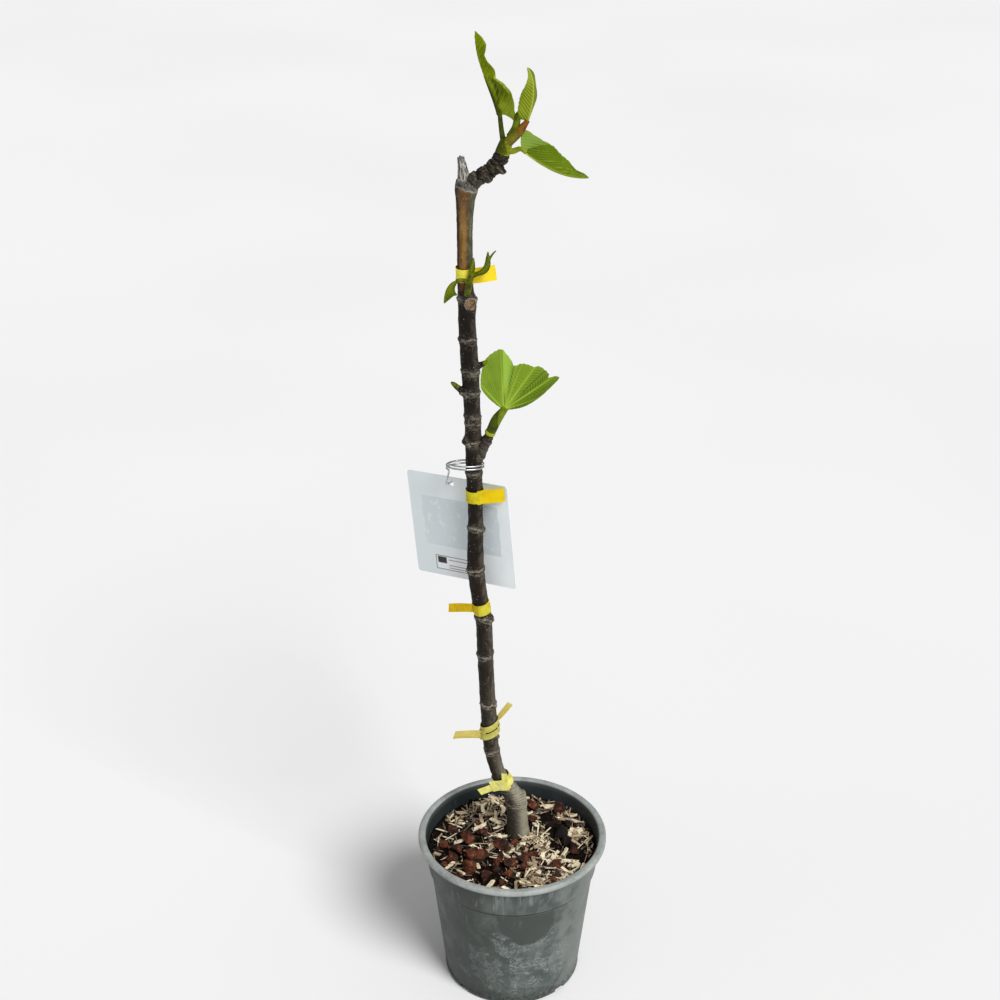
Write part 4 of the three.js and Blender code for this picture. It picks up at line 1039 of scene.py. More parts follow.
def bed_cover(bed, front, elsewhere, scale):
    """Sets where the next small shapes may lie: not on the trunk's foot, chunks or bare strip."""
    places = corners_of(bed)
    x, y, z = places.T
    cover = 1.0 * (z > GROUND_Z - 6) * (np.hypot(x, y) < BED_RADIUS - 1)
    cover *= ease(11.5, 16, from_foot(x, y))
    off_strip = ease(BARE_HALF_WIDTH - 5, BARE_HALF_WIDTH + 3, from_bare_strip(x, y))
    cover *= 0.08 + 0.92 * off_strip
    for chunk_x, chunk_y, size in CHUNKS:
        cover *= 1 - 0.97 * bell(np.hypot(x - chunk_x, y - chunk_y), 1.3 * size)
    cover *= 0.3 + 0.7 * ease(-48, 4, x + 0.5 * y)
    in_front = ease(-6, -40, y + 0.35 * np.abs(x - 20))
    clumps = np.clip(0.66 + 1.1 * rough(places * [1, 1, 0], scale, 2), 0.05, 1)
    cover = cover * clumps * (elsewhere + (front - elsewhere) * in_front)
    bed.data.attributes["cover"].data.foreach_set("value", cover.astype(np.float32))


def splinter(number, slant):
    """A flat sliver of wood, a metre each way until it is strewn, with uneven edges and slanted ends."""
    draw = np.random.default_rng(number)
    corners = []
    for k in range(SPLINTER_RINGS):
        x = k / (SPLINTER_RINGS - 1) - 0.5
        wide = 0.5 * (1 - 0.22 * draw.random()) * (0.8 if k in (0, SPLINTER_RINGS - 1) else 1)
        bow = 0.5 * (x * x) * 4 * draw.random()
        skew = slant * (draw.random() - 0.5)
        for side, up in ((-1, -1), (1, -1), (1, 1), (-1, 1)):
            corners.append((x + side * skew, side * wide, up * 0.5 * (0.8 + 0.4 * draw.random()) + bow))
    faces = ring_faces(SPLINTER_RINGS, 4)
    return piece_from(f"splinter_{number}", np.array(corners) / MM, faces, smooth=False)


def crumb(number):
    """A small lump, a metre across until it is strewn."""
    draw = np.random.default_rng(number)
    shell = bmesh.new()
    bmesh.ops.create_icosphere(shell, subdivisions=1, radius=0.5)
    for corner in shell.verts:
        corner.co *= 0.7 + 0.5 * draw.random()
    mesh = bpy.data.meshes.new(f"crumb_{number}")
    shell.to_mesh(mesh)
    shell.free()
    return new_object(mesh.name, mesh)


def inside_pot(parts):
    """Strewn shapes that stay clear of the pot's wall, the trunk and the bare strip."""
    x, y, z = parts[..., 0], parts[..., 1], parts[..., 2]
    wall = np.hypot(x, y).max(axis=1) < COLLAR_FOOT_RADIUS - POT_WALL - 0.3
    foot = from_foot(x, y).min(axis=1) > FOOT_CLEARANCE
    strip = from_bare_strip(x.mean(axis=1), y.mean(axis=1)) > BARE_HALF_WIDTH - 4
    return wall & foot & strip & (z.max(axis=1) < GROUND_Z + HEAP_HEIGHT)


def make_mulch(bed):
    """Chips, slivers, fines, straws and crumbs, each strewn with its own cover."""
    pale = wood_finish("pale_wood_chip", (0.98, 0.88, 0.64), (0.7, 0.56, 0.36))
    tan = wood_finish("tan_wood_chip", (0.55, 0.43, 0.28), (0.22, 0.15, 0.09))
    grey = wood_finish("grey_brown_sliver", (0.22, 0.18, 0.135), (0.05, 0.038, 0.028))
    brown = wood_finish("brown_wood_chip", (0.09, 0.055, 0.034), (0.022, 0.013, 0.009))
    dark = soil_finish("dark_crumb", (0.003, 0.0022, 0.0016), (0.018, 0.012, 0.008), 2)
    red = wood_finish("red_brown_crumb", (0.085, 0.026, 0.013), (0.022, 0.008, 0.005))
    strewing = [
        # name, slant, seed, covers in front and elsewhere; then count for each square metre,
        # smallest, largest, finishes, tilt, lift
        ("wood_chips", 0.12, 11, 1, 0.75,
         (25000, (7, 2.5, 1.0), (17, 5.2, 1.8), (pale, tan, pale), 0.34, 4.2)),
        ("wood_slivers", 0.1, 17, 0.7, 1,
         (54000, (5, 0.8, 0.6), (18, 2.0, 1.1), (pale, tan, grey), 0.34, 4.0)),
        ("wood_fines", 0.1, 23, 0.8, 1,
         (90000, (2.5, 0.7, 0.5), (8, 1.8, 1.0), (brown, brown, grey), 0.5, 2.4)),
        ("straw_fibres", 0.05, 37, 0.5, 1,
         (20000, (10, 0.45, 0.4), (26, 0.95, 0.7), (pale, tan, grey), 0.24, 5)),
    ]
    for name, slant, seed, front, elsewhere, row in strewing:
        bed_cover(bed, front, elsewhere, 13)
        piece = strewn(name, bed, [splinter(3 * seed + k, slant) for k in range(6)], seed, *row)
        keep_parts(piece, inside_pot)
        finished(piece, "compost_mulch")
    bed_cover(bed, 1, 1, 20)
    crumbs = strewn("compost_crumbs", bed, [crumb(k) for k in range(40, 43)], 53, 150000,
                    (1.4, 1.3, 1), (5, 4.2, 3.4), (dark, red, dark), 1.0, 2.2)
    finished(crumbs, "compost_mulch")


def bark_chunk(x, y, size, number):
    """One angular chunk: the hull of a few points, broken up by small steps."""
    draw = np.random.default_rng(number)
    rays = unit(draw.normal(size=(12, 3)))
    points = rays * [size, size * draw.uniform(0.66, 0.95), size * 0.7] * HULL_SPREAD
    shell = bmesh.new()
    for point in points:
        shell.verts.new(point)
    bmesh.ops.convex_hull(shell, input=shell.verts)
    loose = [v for v in shell.verts if not v.link_faces]
    bmesh.ops.delete(shell, geom=loose, context="VERTS")
    bmesh.ops.subdivide_edges(shell, edges=shell.edges, cuts=3, use_grid_fill=True)
    bmesh.ops.triangulate(shell, faces=shell.faces)
    shell.verts.ensure_lookup_table()
    corners = np.array([v.co for v in shell.verts])
    corners += unit(corners) * (0.09 * size * rough(corners, size * 0.45, number))[:, None]
    tilt = Matrix.Rotation(draw.uniform(-0.4, 0.4), 3, "X") @ Matrix.Rotation(draw.uniform(0, 6.28), 3, "Z")
    corners = corners @ np.array(tilt)
    ground = float(bed_height(np.array([x]), np.array([y]))[0])
    corners += [x, y, ground + 0.42 * size + 2.4]
    faces = [[v.index for v in face.verts] for face in shell.faces]
    shell.free()
    return corners, faces


def make_chunks():
    draw = np.random.default_rng(77)
    rows = list(CHUNKS)
    while len(rows) < len(CHUNKS) + SMALL_CHUNKS:
        x, y, size = draw.uniform(-76, 76), draw.uniform(-74, 66), draw.uniform(2.4, 5.4)
        near_foot = from_foot(x, y) < 17
        among_others = x < 12 and y < 12
        if math.hypot(x, y) < 78 and not near_foot and (among_others or draw.random() < 0.16):
            rows.append((x, y, size))
    shells = [bark_chunk(x, y, size, 100 + k) for k, (x, y, size) in enumerate(rows)]
    chunks = piece_from("bark_chunks", *merged(shells), [chunk_finish()], smooth=False)
    outward(chunks)
    return finished(chunks, "compost_mulch")


# ---- trunk and spurs

TIE_HEIGHTS = [(765, 6), (549, 6), (427, 6), (284, 9), (219, 7)]
TRUNK_SHADES = [
    (149, (0.1, 0.088, 0.06)), (172, (0.16, 0.147, 0.11)), (196, (0.19, 0.172, 0.13)),
    (212, (0.14, 0.124, 0.09)), (228, (0.105, 0.094, 0.068)), (262, (0.07, 0.059, 0.041)),
    (300, (0.075, 0.063, 0.044)), (330, (0.058, 0.048, 0.034)), (362, (0.028, 0.022, 0.014)),
    (395, (0.022, 0.016, 0.01)), (430, (0.02, 0.014, 0.0085)), (480, (0.012, 0.0072, 0.004)),
    (580, (0.012, 0.0085, 0.005)), (606, (0.022, 0.016, 0.01)), (626, (0.03, 0.021, 0.013)),
    (642, (0.009, 0.006, 0.004)), (690, (0.006, 0.005, 0.004)), (736, (0.009, 0.0075, 0.006)),
    (752, (0.045, 0.027, 0.014)), (838, (0.06, 0.045, 0.025)), (850, (0.07, 0.062, 0.052)),
]
SPUR_SHADES = [
    (838, (0.05, 0.045, 0.036)), (849, (0.045, 0.038, 0.029)), (855, (0.012, 0.008, 0.0055)),
    (864, (0.026, 0.018, 0.011)), (872, (0.009, 0.006, 0.004)),
]
MID_SPUR_SHADES = [
    (580, (0.035, 0.029, 0.021)), (596, (0.075, 0.067, 0.053)), (611, (0.035, 0.028, 0.02)),
    (616, (0.01, 0.007, 0.005)),
]
SPUR_RING = (0.26, 0.225, 0.155)
# Painted shade for the grooves behind the spurs' ridges.
SPUR_GROOVE_SHADE = (0.005, 0.0035, 0.0025)


def angle_from(around, degrees):
    """Distance of directions from one direction, in radians."""
    return np.abs((around - math.radians(degrees) + math.pi) % math.tau - math.pi)


HEALED_SCAR = (739, -66, 5.0)       # height, side in degrees and radius of the round healed scar
STEM_SIDES = 48
TRUNK_VOXEL = 0.72
SPUR_VOXEL = 0.45


def node_relief(z, around, radius, wander):
    """What the leaf nodes add: ridge lines, grooves, one-sided swellings, old scars and their rims."""
    lines, grooves, swell, scars, rims, knots = (np.zeros(len(z)) for _ in range(6))
    for height, size, side, scar in NODES:
        facing = np.cos(around - math.radians(side))
        rise = z - height + wander + 1.2 * np.sin(around + height)
        strength = min(1, 0.35 + 0.6 * size)
        second = rise + 3.1 + 1.1 * np.cos(around - height)
        lines += strength * (bell(rise, 0.8) + 0.75 * bell(second, 0.65) * ease(-0.4, 0.4, facing))
        grooves += strength * (bell(rise - 2.0, 1.1) + 0.6 * bell(second + 1.6, 0.8))
        swell += size * np.maximum(facing, 0) ** 2 * bell(rise + 1.2, 3.6)
        knots += strength * bell(rise + 1.5, 5.5)
        if scar > 0:
            apart = radius * angle_from(around, side)
            oval = np.hypot(apart / (1.8 + 2.4 * scar), (rise + 2.6) / (1.2 + 1.6 * scar))
            scars += scar * ease(1.0, 0.7, oval)
            rims += bell(oval - 1.1, 0.2)
    return lines, grooves, swell, scars, rims, knots


def top_marks(places, around, cap):
    """Which sides of the smooth bark near the top are amber and olive, and which carry painted shade."""
    top = ease(749, 757, places[:, 2]) * (1 - cap)
    sun = top * ease(1.0, 0.2, angle_from(around, -105) + 0.3 * rough(places, 5))
    olive = top * ease(0.78, 0.1, angle_from(around, -38) + 0.16 * rough(places, 4))
    back = top * ease(0.9, 0.6, angle_from(around, 95))
    # Painted shade on the left and right sides of the top.
    dusk = top * ease(0.62, 0.2, np.minimum(angle_from(around, -163), angle_from(around, 8)))
    return {"sun": sun, "olive": np.clip(olive + 0.7 * back, 0, 1), "dusk": dusk}


def trunk_relief(places):
    """How far the bark stands out at each place, and the marks that its finish reads."""
    x, y, z = places.T
    centre_x, centre_y, radius = trunk_at(z)
    around = np.arctan2(y - centre_y, x - centre_x)
    away = np.hypot(x - centre_x, y - centre_y) - radius
    on_stem = bell(np.maximum(np.abs(away) - 1, 0), 1.6)
    wander = 2.1 * rough(places, 7)
    lines, grooves, swell, scars, rims, knots = node_relief(z, around, radius, wander)
    lines *= ease(-0.75, 0.1, rough(places, 5, 4))
    scar_z, scar_side, scar_radius = HEALED_SCAR
    round_scar = np.hypot(radius * angle_from(around, scar_side), z - scar_z) / scar_radius
    round_scar += 0.1 * rough(places, 2.5)
    healed, healed_rim = ease(1.0, 0.86, round_scar), bell(round_scar - 1.03, 0.12)
    foot = ease(222, 198, z)
    creased = foot * (0.16 + 0.84 * ease(180, 190, z))
    wrinkles = creased * np.sin(math.tau * (z + 3.8 * rough(places * [0.5, 0.5, 1], 7)) / 2.7)
    ridges = rough(places * [1, 1, 0.16], 1.9)
    flakes = rough(places, 4.5, 5)
    under_tape = sum(bell(np.maximum(np.abs(z - height) - half, 0), 1.2) for height, half in TIE_HEIGHTS)
    height = (0.55 * lines - 0.45 * grooves + 0.95 * swell + 0.4 * rims - 0.3 * scars + 0.5 * wrinkles
              + 0.3 * (1 - 0.85 * foot) * ridges + (0.26 + 0.12 * foot) * flakes)
    height = height * (1 - healed) + 0.5 * healed_rim + healed * 0.3 * rough(places, 1.6)
    height *= on_stem * (1 - 0.85 * np.clip(under_tape, 0, 1))
    edge = z - 841.3 + 0.27 * (x + 41) - 1.3 * rough(places, 4)
    cap = ease(-0.3, 0.5, edge)
    below = ease(752, 742, z)
    # A painted highlight on the crests of the foot's wrinkles.
    crest = foot * np.clip(wrinkles, 0, 1) * ease(-0.1, 0.5, flakes + ridges)
    ring = np.clip(lines * 0.85 + 0.8 * rims + bell(edge - 0.2, 0.6) + 0.7 * crest + healed_rim, 0, 1)
    # Painted shade in the grooves and the troughs of the foot's wrinkles.
    furrow_shade = 0.55 * np.clip(grooves, 0, 1) + 0.5 * foot * np.clip(-wrinkles, 0, 1)
    return height, {
        "ring": ring * on_stem * (1 - healed * (1 - healed_rim)),
        # The scar mark holds the dark leaf scars and the painted shade of grooves and wrinkle troughs.
        "scar": np.clip(scars + furrow_shade, 0, 1) * on_stem,
        "knot": np.clip(0.85 * knots + 0.5 * cap + 0.15 * foot, 0, 1) * (1 - healed),
        **top_marks(places, around, cap), "cap": cap, "healed": healed * on_stem,
        # Painted shade on the left side.
        "dim": below * ease(2.1, 0.75, angle_from(around, 194)),
        # Painted light on the right side, reaching further round at the foot.
        "lit": below * ease(0.85 + 0.4 * foot, 0.25, angle_from(around + 0.14 * foot, -30)),
    }


def make_trunk():
    """The trunk with its stump, buds and leaf nodes, in one skin with the bark's relief."""
    heights = np.arange(TRUNK_FOOT_Z, TRUNK_TOP_Z + 0.5, 1.0)
    x, y, radius = trunk_at(heights)
    ring = wound(1, all_round(STEM_SIDES), 0)
    centres = np.stack([x, y, heights], axis=1)
    stem = (centres[:, None] + radius[:, None, None] * ring).reshape(-1, 3)
    shells = [(stem, ring_faces(len(heights), STEM_SIDES)), shoot(OLD_STUMP, OLD_STUMP_RADII, 14, 32)]
    for foot, tip, size in BUDS:
        shells.append(shoot([foot, tip], [1.15 * size, size, size * 0.92, size * 0.78, 0.5 * size], 14, 20))
    trunk = fused("fig_trunk", shells, TRUNK_VOXEL, 4, bark_finish("fig_bark", TRUNK_SHADES))
    places = corners_of(trunk)
    height, marks = trunk_relief(places)
    moved = places + normals_of(trunk) * height[:, None]
    moved[:, 2] = np.maximum(moved[:, 2], TRUNK_FOOT_Z)
    move_corners(trunk, moved)
    pores = 1 - np.clip(marks["ring"] + marks["scar"], 0, 1)
    mark(trunk, cover=pores * (places[:, 2] < 842) * (places[:, 2] > 160), **marks)
    return finished(trunk, "bark", "trunk")


def make_pores(trunk):
    """Small raised pores all over the bark."""
    pale = pore_finish("pale_pore", (0.34, 0.28, 0.2))
    dull = pore_finish("dull_pore", (0.13, 0.1, 0.07))
    tan = pore_finish("tan_pore", (0.22, 0.165, 0.105))
    pores = strewn("bark_pores", trunk, [crumb(k) for k in range(60, 63)], 5, 19000,
                   (0.4, 0.5, 0.3), (0.95, 1.5, 0.5), (pale, dull, tan), tilt=0.1, turn=0.5)
    return finished(pores, "bark")


def make_dead_tip():
    """The split, bleached stub above the top node."""
    rings, sides = 70, 52
    centres = flowing(DEAD_TIP, rings)
    rays = wound(3, all_round(sides), 0)
    split = rough(rays, 1.3) + 0.6 * rough(rays, 0.6, 4)
    along = np.linspace(0, 1, rings)
    body = tapering(DEAD_TIP_RADII, rings)[:, None] * (1 + (0.08 + 0.16 * along[:, None]) * split[None, :])
    corners, faces = limb(centres, body, sides)
    end = np.repeat(along, sides) ** 3
    corners[:, 2] += np.minimum(0.9 * (corners[:, 0] + 47.5), 0) * end
    ragged = end * (np.tile(split, rings) + rough(corners, 1.1))
    corners[:, 2] += np.clip(1.8 * ragged - 0.28 * end * (corners[:, 0] + 48), -4, 0)
    pits = rough(corners * [1, 1, 0.35], 1.1, 8)
    outward_ray = unit((corners - np.repeat(centres, sides, axis=0)) * [1, 1, 0])
    corners += outward_ray * (0.35 * np.minimum(pits, 0.1))[:, None]
    return finished(piece_from("dead_tip", corners, faces, [dead_wood_finish()]), "bark")


def spur(name, path, radii, ridges, shades, slot_node, extra=()):
    """A short thick limb with ring scars: each has a place along it, a size and a fuller side."""
    rings = 150
    centres = flowing(path, rings)
    length = np.concatenate([[0], np.cumsum(np.linalg.norm(np.diff(centres, axis=0), axis=1))])
    shells = [limb(centres, tapering(radii, rings), STEM_SIDES), *extra]
    piece = fused(name, shells, SPUR_VOXEL, 3, bark_finish(name + "_bark", shades, SPUR_RING, SPUR_GROOVE_SHADE))
    places = corners_of(piece)
    nearest = np.argmin(np.linalg.norm(places[:, None] - centres[None, ::3], axis=2), axis=1) * 3
    ahead = unit(np.gradient(centres, axis=0))[nearest]
    off = places - centres[nearest]
    run = length[nearest] + np.sum(off * ahead, axis=1) + 0.9 * rough(places, 4)
    around = np.arctan2(off[:, 2], off[:, 0])
    height = 0.34 * rough(places, 1.9) + 0.8 * rough(places, 5, 3)
    ring, groove = np.zeros(len(places)), np.zeros(len(places))
    for at, size, side in ridges:
        rise = run - at - 1.1 * np.sin(around + at)
        facing = 0.3 + 0.7 * np.clip(np.cos(around - math.radians(side)), 0, 1)
        height += size * (1.1 * bell(rise, 1.9) * facing - 0.8 * bell(rise - 2.6, 0.9))
        ring += 0.7 * min(1, size) * bell(rise - 0.7, 0.4) * facing
        groove += min(1, size) * bell(rise - 2.6, 0.9)
    move_corners(piece, places + normals_of(piece) * height[:, None])
    # On a spur the scar mark is the groove behind each ridge, darkened as painted shade.
    mark(piece, ring=np.clip(ring, 0, 1), scar=np.clip(groove, 0, 1), knot=np.full(len(places), 0.45))
    return finished(piece, "bark", slot_node)


# Ring scars of the spurs: place along the spur, size, and the side that stands out most, in degrees.
TOP_RIDGES = [(8.5, 1.2, 100), (16.5, 0.8, -60), (19.5, 1.2, 95), (27.5, 1.3, -75), (33, 0.7, 110)]
MID_RIDGES = [(6, 0.5, -60), (13, 0.5, 120), (18, 0.5, 10), (23, 0.8, -60), (27, 0.8, 60)]


def make_spurs():
    bud = shoot([(-13.6, 0.5, 859.4), (-7.2, -2.4, 858.6)], [3, 2.9, 2.6, 1.9, 1.0], 12, 20)
    spur("top_spur", TOP_SPUR, TOP_SPUR_RADII, TOP_RIDGES, SPUR_SHADES, "bough_top", [bud])
    spur("mid_spur", MID_SPUR, MID_SPUR_RADII, MID_RIDGES, MID_SPUR_SHADES, "bough_mid")


# ---- leaves

def folded_leaf(midrib, near, far, ruffle, waves):
    return {"midrib": midrib, "near": near, "far": far, "ruffle": ruffle, "waves": waves}


def half(side, outline, curl=0, lobe=0, bend=1):
    return {"side": side, "outline": outline, "curl": curl, "lobe": lobe, "bend": bend}


LOBE_END = 0.25

LEFT_LEAF = folded_leaf(
    [(-13.4, 4, 904.5), (-20, 6, 927), (-34.6, 11, 945), (-33, 16, 970.4)],
    half((0.95, -0.3, 0.05),
         [(0, 14.5), (0.07, 14.6), (0.14, 16.5), (0.2, 18), (0.28, 16.6), (0.34, 14.2), (0.385, 11.4),
          (0.41, 9.8), (0.46, 10.7), (0.53, 10.8), (0.6, 8.8), (0.66, 7.6), (0.72, 7.1), (0.77, 8.5),
          (0.84, 9.6), (0.9, 8), (0.945, 5.7), (1, 0.8)], -12, 10, 2),
    half((0.7, 0.7, 0.05),
         [(0, 1.5), (0.12, 10), (0.28, 12), (0.45, 8), (0.65, 8), (0.85, 6), (1, 0.8)], 14),
    1.2, 2.5)

CENTRE_LEAF = folded_leaf(
    [(10.4, -3.4, 901), (14.4, -6, 914), (18.6, -9, 934), (10, -13, 947.5)],
    half((-1, -0.1, 0),
         [(0, 6), (0.12, 9.8), (0.35, 10.6), (0.55, 9.4), (0.7, 6), (0.85, 2.6), (1, 0.7)], -10),
    half((0.4, 0.9, 0), [(0, 4), (0.2, 9), (0.45, 10), (0.7, 8), (0.9, 3.6), (1, 0.7)], 10),
    0.7, 2)

RIGHT_LEAF = folded_leaf(
    [(8.6, -5.8, 875), (24, -11, 864), (41, -17, 855.4), (60.9, -26, 859.6)],
    half((0.18, -0.2, 0.96),
         [(0, 4), (0.06, 9), (0.148, 15), (0.283, 18.4), (0.465, 17), (0.56, 15.2), (0.67, 12.4),
          (0.772, 8.6), (0.842, 6.4), (0.91, 5.4), (0.96, 3.6), (1, 0.8)], -8),
    half((-0.45, 0.42, 0.8),
         [(0, 14), (0.063, 15.6), (0.122, 15.9), (0.2, 17), (0.298, 17.4), (0.45, 15), (0.7, 9),
          (0.9, 4.4), (1, 0.8)], 8, 14, 0.45),
    0.8, 2.5)

SLIM = [(0, 1.2), (0.3, 2.6), (0.7, 2.2), (1, 0.6)]
POINTED = [(0, 1.2), (0.5, 1.2), (1, 0.6)]

SPIKE_LEAF = folded_leaf(
    [(-36.6, -6.4, 765), (-36, -6.6, 771), (-35.4, -6.8, 777), (-35, -7, 783.4)],
    half((-1, -0.2, 0), SLIM), half((0.7, 0.8, 0), SLIM), 0.2, 1.5)
HOOKED_LEAF = folded_leaf(
    [(-33.6, -7, 768.4), (-24, -9, 769), (-20.8, -11, 777), (-22.6, -12.4, 790.6)],
    half((-0.3, 0, 1), [(0, 2.2), (0.25, 3.2), (0.6, 3.2), (0.85, 2.4), (1, 0.6)]),
    half((0.3, 0.35, -1), [(0, 1.4), (0.3, 2), (0.7, 2), (1, 0.5)]), 0.2, 1.5)
HOOK_POINT = folded_leaf(
    [(-22, -11, 781), (-20.4, -11.6, 785.6), (-18.4, -12.2, 788.6), (-15.8, -13, 791.6)],
    half((-0.7, 0, 0.7), POINTED), half((0, 1, 0), POINTED), 0.2, 1.5)
DROOPING_LEAF = folded_leaf(
    [(-48, -9, 763.4), (-55, -11, 763.4), (-60.5, -13, 757), (-60.6, -14, 744.6)],
    half((1, 0, 0.1), [(0, 2.4), (0.3, 4.6), (0.48, 7), (0.62, 10), (0.74, 7.4), (0.88, 4.6), (1, 0.6)]),
    half((0.5, 0.85, 0), [(0, 2), (0.4, 5), (0.65, 6), (0.85, 4), (1, 0.6)]), 0.2, 1.5)

FAN_LEAN = math.radians(42)
FAN_BASE = np.array([-9.2, -4, 639.4])
FAN_RIGHT = np.array([1.0, 0, 0])
FAN_UP = np.array([0, math.sin(FAN_LEAN), math.cos(FAN_LEAN)])
FAN_OUTLINE = [
    (-8, 9), (0, 17), (11, 28), (22, 43.5), (28, 55.5), (31, 54.5), (34, 48.5), (38, 51), (44, 51.2),
    (50, 49.8), (54, 46), (60, 45.4), (69, 44.2), (76.5, 41), (81, 45.2), (87, 50.5), (92, 54.4),
    (101, 51.6), (110, 47.4), (120, 39.2), (130, 31.7), (138, 26.5), (146, 17), (154, 8),
]
FAN_FROM, FAN_TO = FAN_OUTLINE[0][0], FAN_OUTLINE[-1][0]
FAN_PLEATS = [(-8, 2), (30, 5), (43, -1.2), (53, 2.8), (65, 1), (78, -2), (100, 2), (124, -1), (154, 3)]
FAN_CUP = 5
FAN_VEINS = (14, 32, 53, 68, 93, 133)
FAN_FOLDS = (43, 76.5, 92)
FAN_VEIN_STEP = 2.8


def folded_point(leaf, u, v):
    """A point of a leaf folded along its midrib. u runs from base to tip, and v from -1 to 1 across."""
    p = np.array(leaf["midrib"], dtype=float)
    w = (1 - u)[..., None]
    t = u[..., None]
    point = w**3 * p[0] + 3 * w**2 * t * p[1] + 3 * w * t**2 * p[2] + t**3 * p[3]
    ahead = unit(3 * w**2 * (p[1] - p[0]) + 6 * w * t * (p[2] - p[1]) + 3 * t**2 * (p[3] - p[2]))
    result = np.empty(point.shape)
    for name, chosen in (("near", v < 0), ("far", v >= 0)):
        part = leaf[name]
        out = np.abs(v)
        reach = out * through(part["outline"], u)
        reach = reach * (1 + 0.035 * out**3 * np.abs(np.sin(math.pi * 11 * u)))
        side = np.array(part["side"], dtype=float)
        side = unit(side - ahead * (ahead @ side)[..., None])
        normal = np.cross(ahead, side)
        turn = math.radians(part["curl"]) * out
        ruffle = leaf["ruffle"] * v**2 * np.sin(math.tau * leaf["waves"] * u)
        back = part["lobe"] * out ** part["bend"] * np.maximum(0, 1 - u / LOBE_END)
        moved = (point - ahead * back[..., None] + side * (reach * np.cos(turn))[..., None]
                 + normal * (reach * np.sin(turn) + ruffle)[..., None])
        result[chosen] = moved[chosen]
    return result


def fan_point(u, v):
    """A point of the lobed fan leaf. u runs round its outline, and v outwards."""
    angle = FAN_FROM + u * (FAN_TO - FAN_FROM)
    reach = v * through(FAN_OUTLINE, angle) * (1 + 0.012 * v**4 * np.abs(np.sin(math.pi * 34 * u)))
    lift = FAN_CUP * v**2 + v * through(FAN_PLEATS, angle)
    turn = np.radians(angle)
    point = FAN_BASE + FAN_RIGHT * (reach * np.cos(turn))[..., None]
    point = point + FAN_UP * (reach * np.sin(turn))[..., None]
    return point + np.cross(FAN_RIGHT, FAN_UP) * lift[..., None]


def folded_pattern(length, spacing, slope, depth, creases):
    """Relief, veins and creases of a folded leaf: blisters between side veins that run to the margin."""
    def pattern(u, v, middle):
        out = np.abs(v)
        width = np.linalg.norm(middle - middle[:, [middle.shape[1] // 2]], axis=2)
        run = (u * length - slope * width) / spacing
        phase = np.abs(run - np.round(run)) * 2
        blister = np.sqrt(np.clip(phase, 0, 1)) * ease(0, 0.15, out) * ease(1.02, 0.75, out)
        veins = np.maximum(bell(phase * spacing / 2, 0.4) * ease(1.1, 0.6, out), bell(width, 0.9))
        # Thin dark lines along the creases: painted shade.
        lines = creases * bell(phase * spacing / 2 - 1.0, 0.45) * ease(0.05, 0.2, out)
        return depth * (blister - 0.5), veins, lines * ease(1, 0.85, out)
    return pattern


def meeting_zone(degrees):
    """1 half-way between two ribs, where their side veins fade out, and 0 at the ribs."""
    apart = np.stack([np.abs(degrees - k) for k in FAN_VEINS])
    apart.sort(axis=0)
    return ease(0.62, 0.95, apart[0] / apart[1])


def fan_pattern(u, v, middle):
    """Relief, veins and creases of the fan leaf: fine side veins off each rib, and folds between lobes."""
    degrees = FAN_FROM + u * (FAN_TO - FAN_FROM)
    angle = np.radians(degrees)
    reach = np.linalg.norm(middle - FAN_BASE, axis=2)

    def nearest(directions):
        offsets = np.stack([angle - math.radians(k) for k in directions])
        return np.take_along_axis(offsets, np.abs(offsets).argmin(axis=0)[None], axis=0)[0]

    off_rib = nearest(FAN_VEINS)
    aside = np.abs(reach * np.sin(off_rib))
    wander = rough(middle.reshape(-1, 3), 13).reshape(u.shape)
    steep = 0.6 + 0.9 * ease(88, 96, degrees)
    run = (reach * np.cos(off_rib) - steep * aside) / FAN_VEIN_STEP + 0.7 * wander
    phase = np.abs(run - np.round(run)) * 2
    smooth_band = ease(76, 78, degrees) * ease(93, 91, degrees)
    textured = ease(0.08, 0.3, v) * ease(1.0, 0.9, v) * (1 - 0.85 * smooth_band)
    line = bell(phase * FAN_VEIN_STEP / 2, 0.34) * ease(0.4, 1.6, aside) * textured
    line *= 1 - 0.75 * meeting_zone(degrees)
    off_fold = np.abs(reach * np.sin(nearest(FAN_FOLDS)))
    # Painted shade along the folds between the lobes.
    fold_shade = bell(off_fold, 0.55) * ease(0.3, 0.6, v)
    height = 0.34 * (np.sqrt(np.clip(phase, 0, 1)) - 0.5) * textured
    height -= 1.1 * bell(off_fold, 2.2) * ease(0.3, 0.7, v)
    rib = 0.8 * bell(aside, 0.35 + 0.5 * (1 - v)) * (1 - 0.6 * smooth_band)
    uneven = 0.35 + 0.35 * ease(-0.4, 0.5, rough(middle.reshape(-1, 3), 11, 6).reshape(u.shape))
    return height, rib, uneven * line + 0.6 * fold_shade


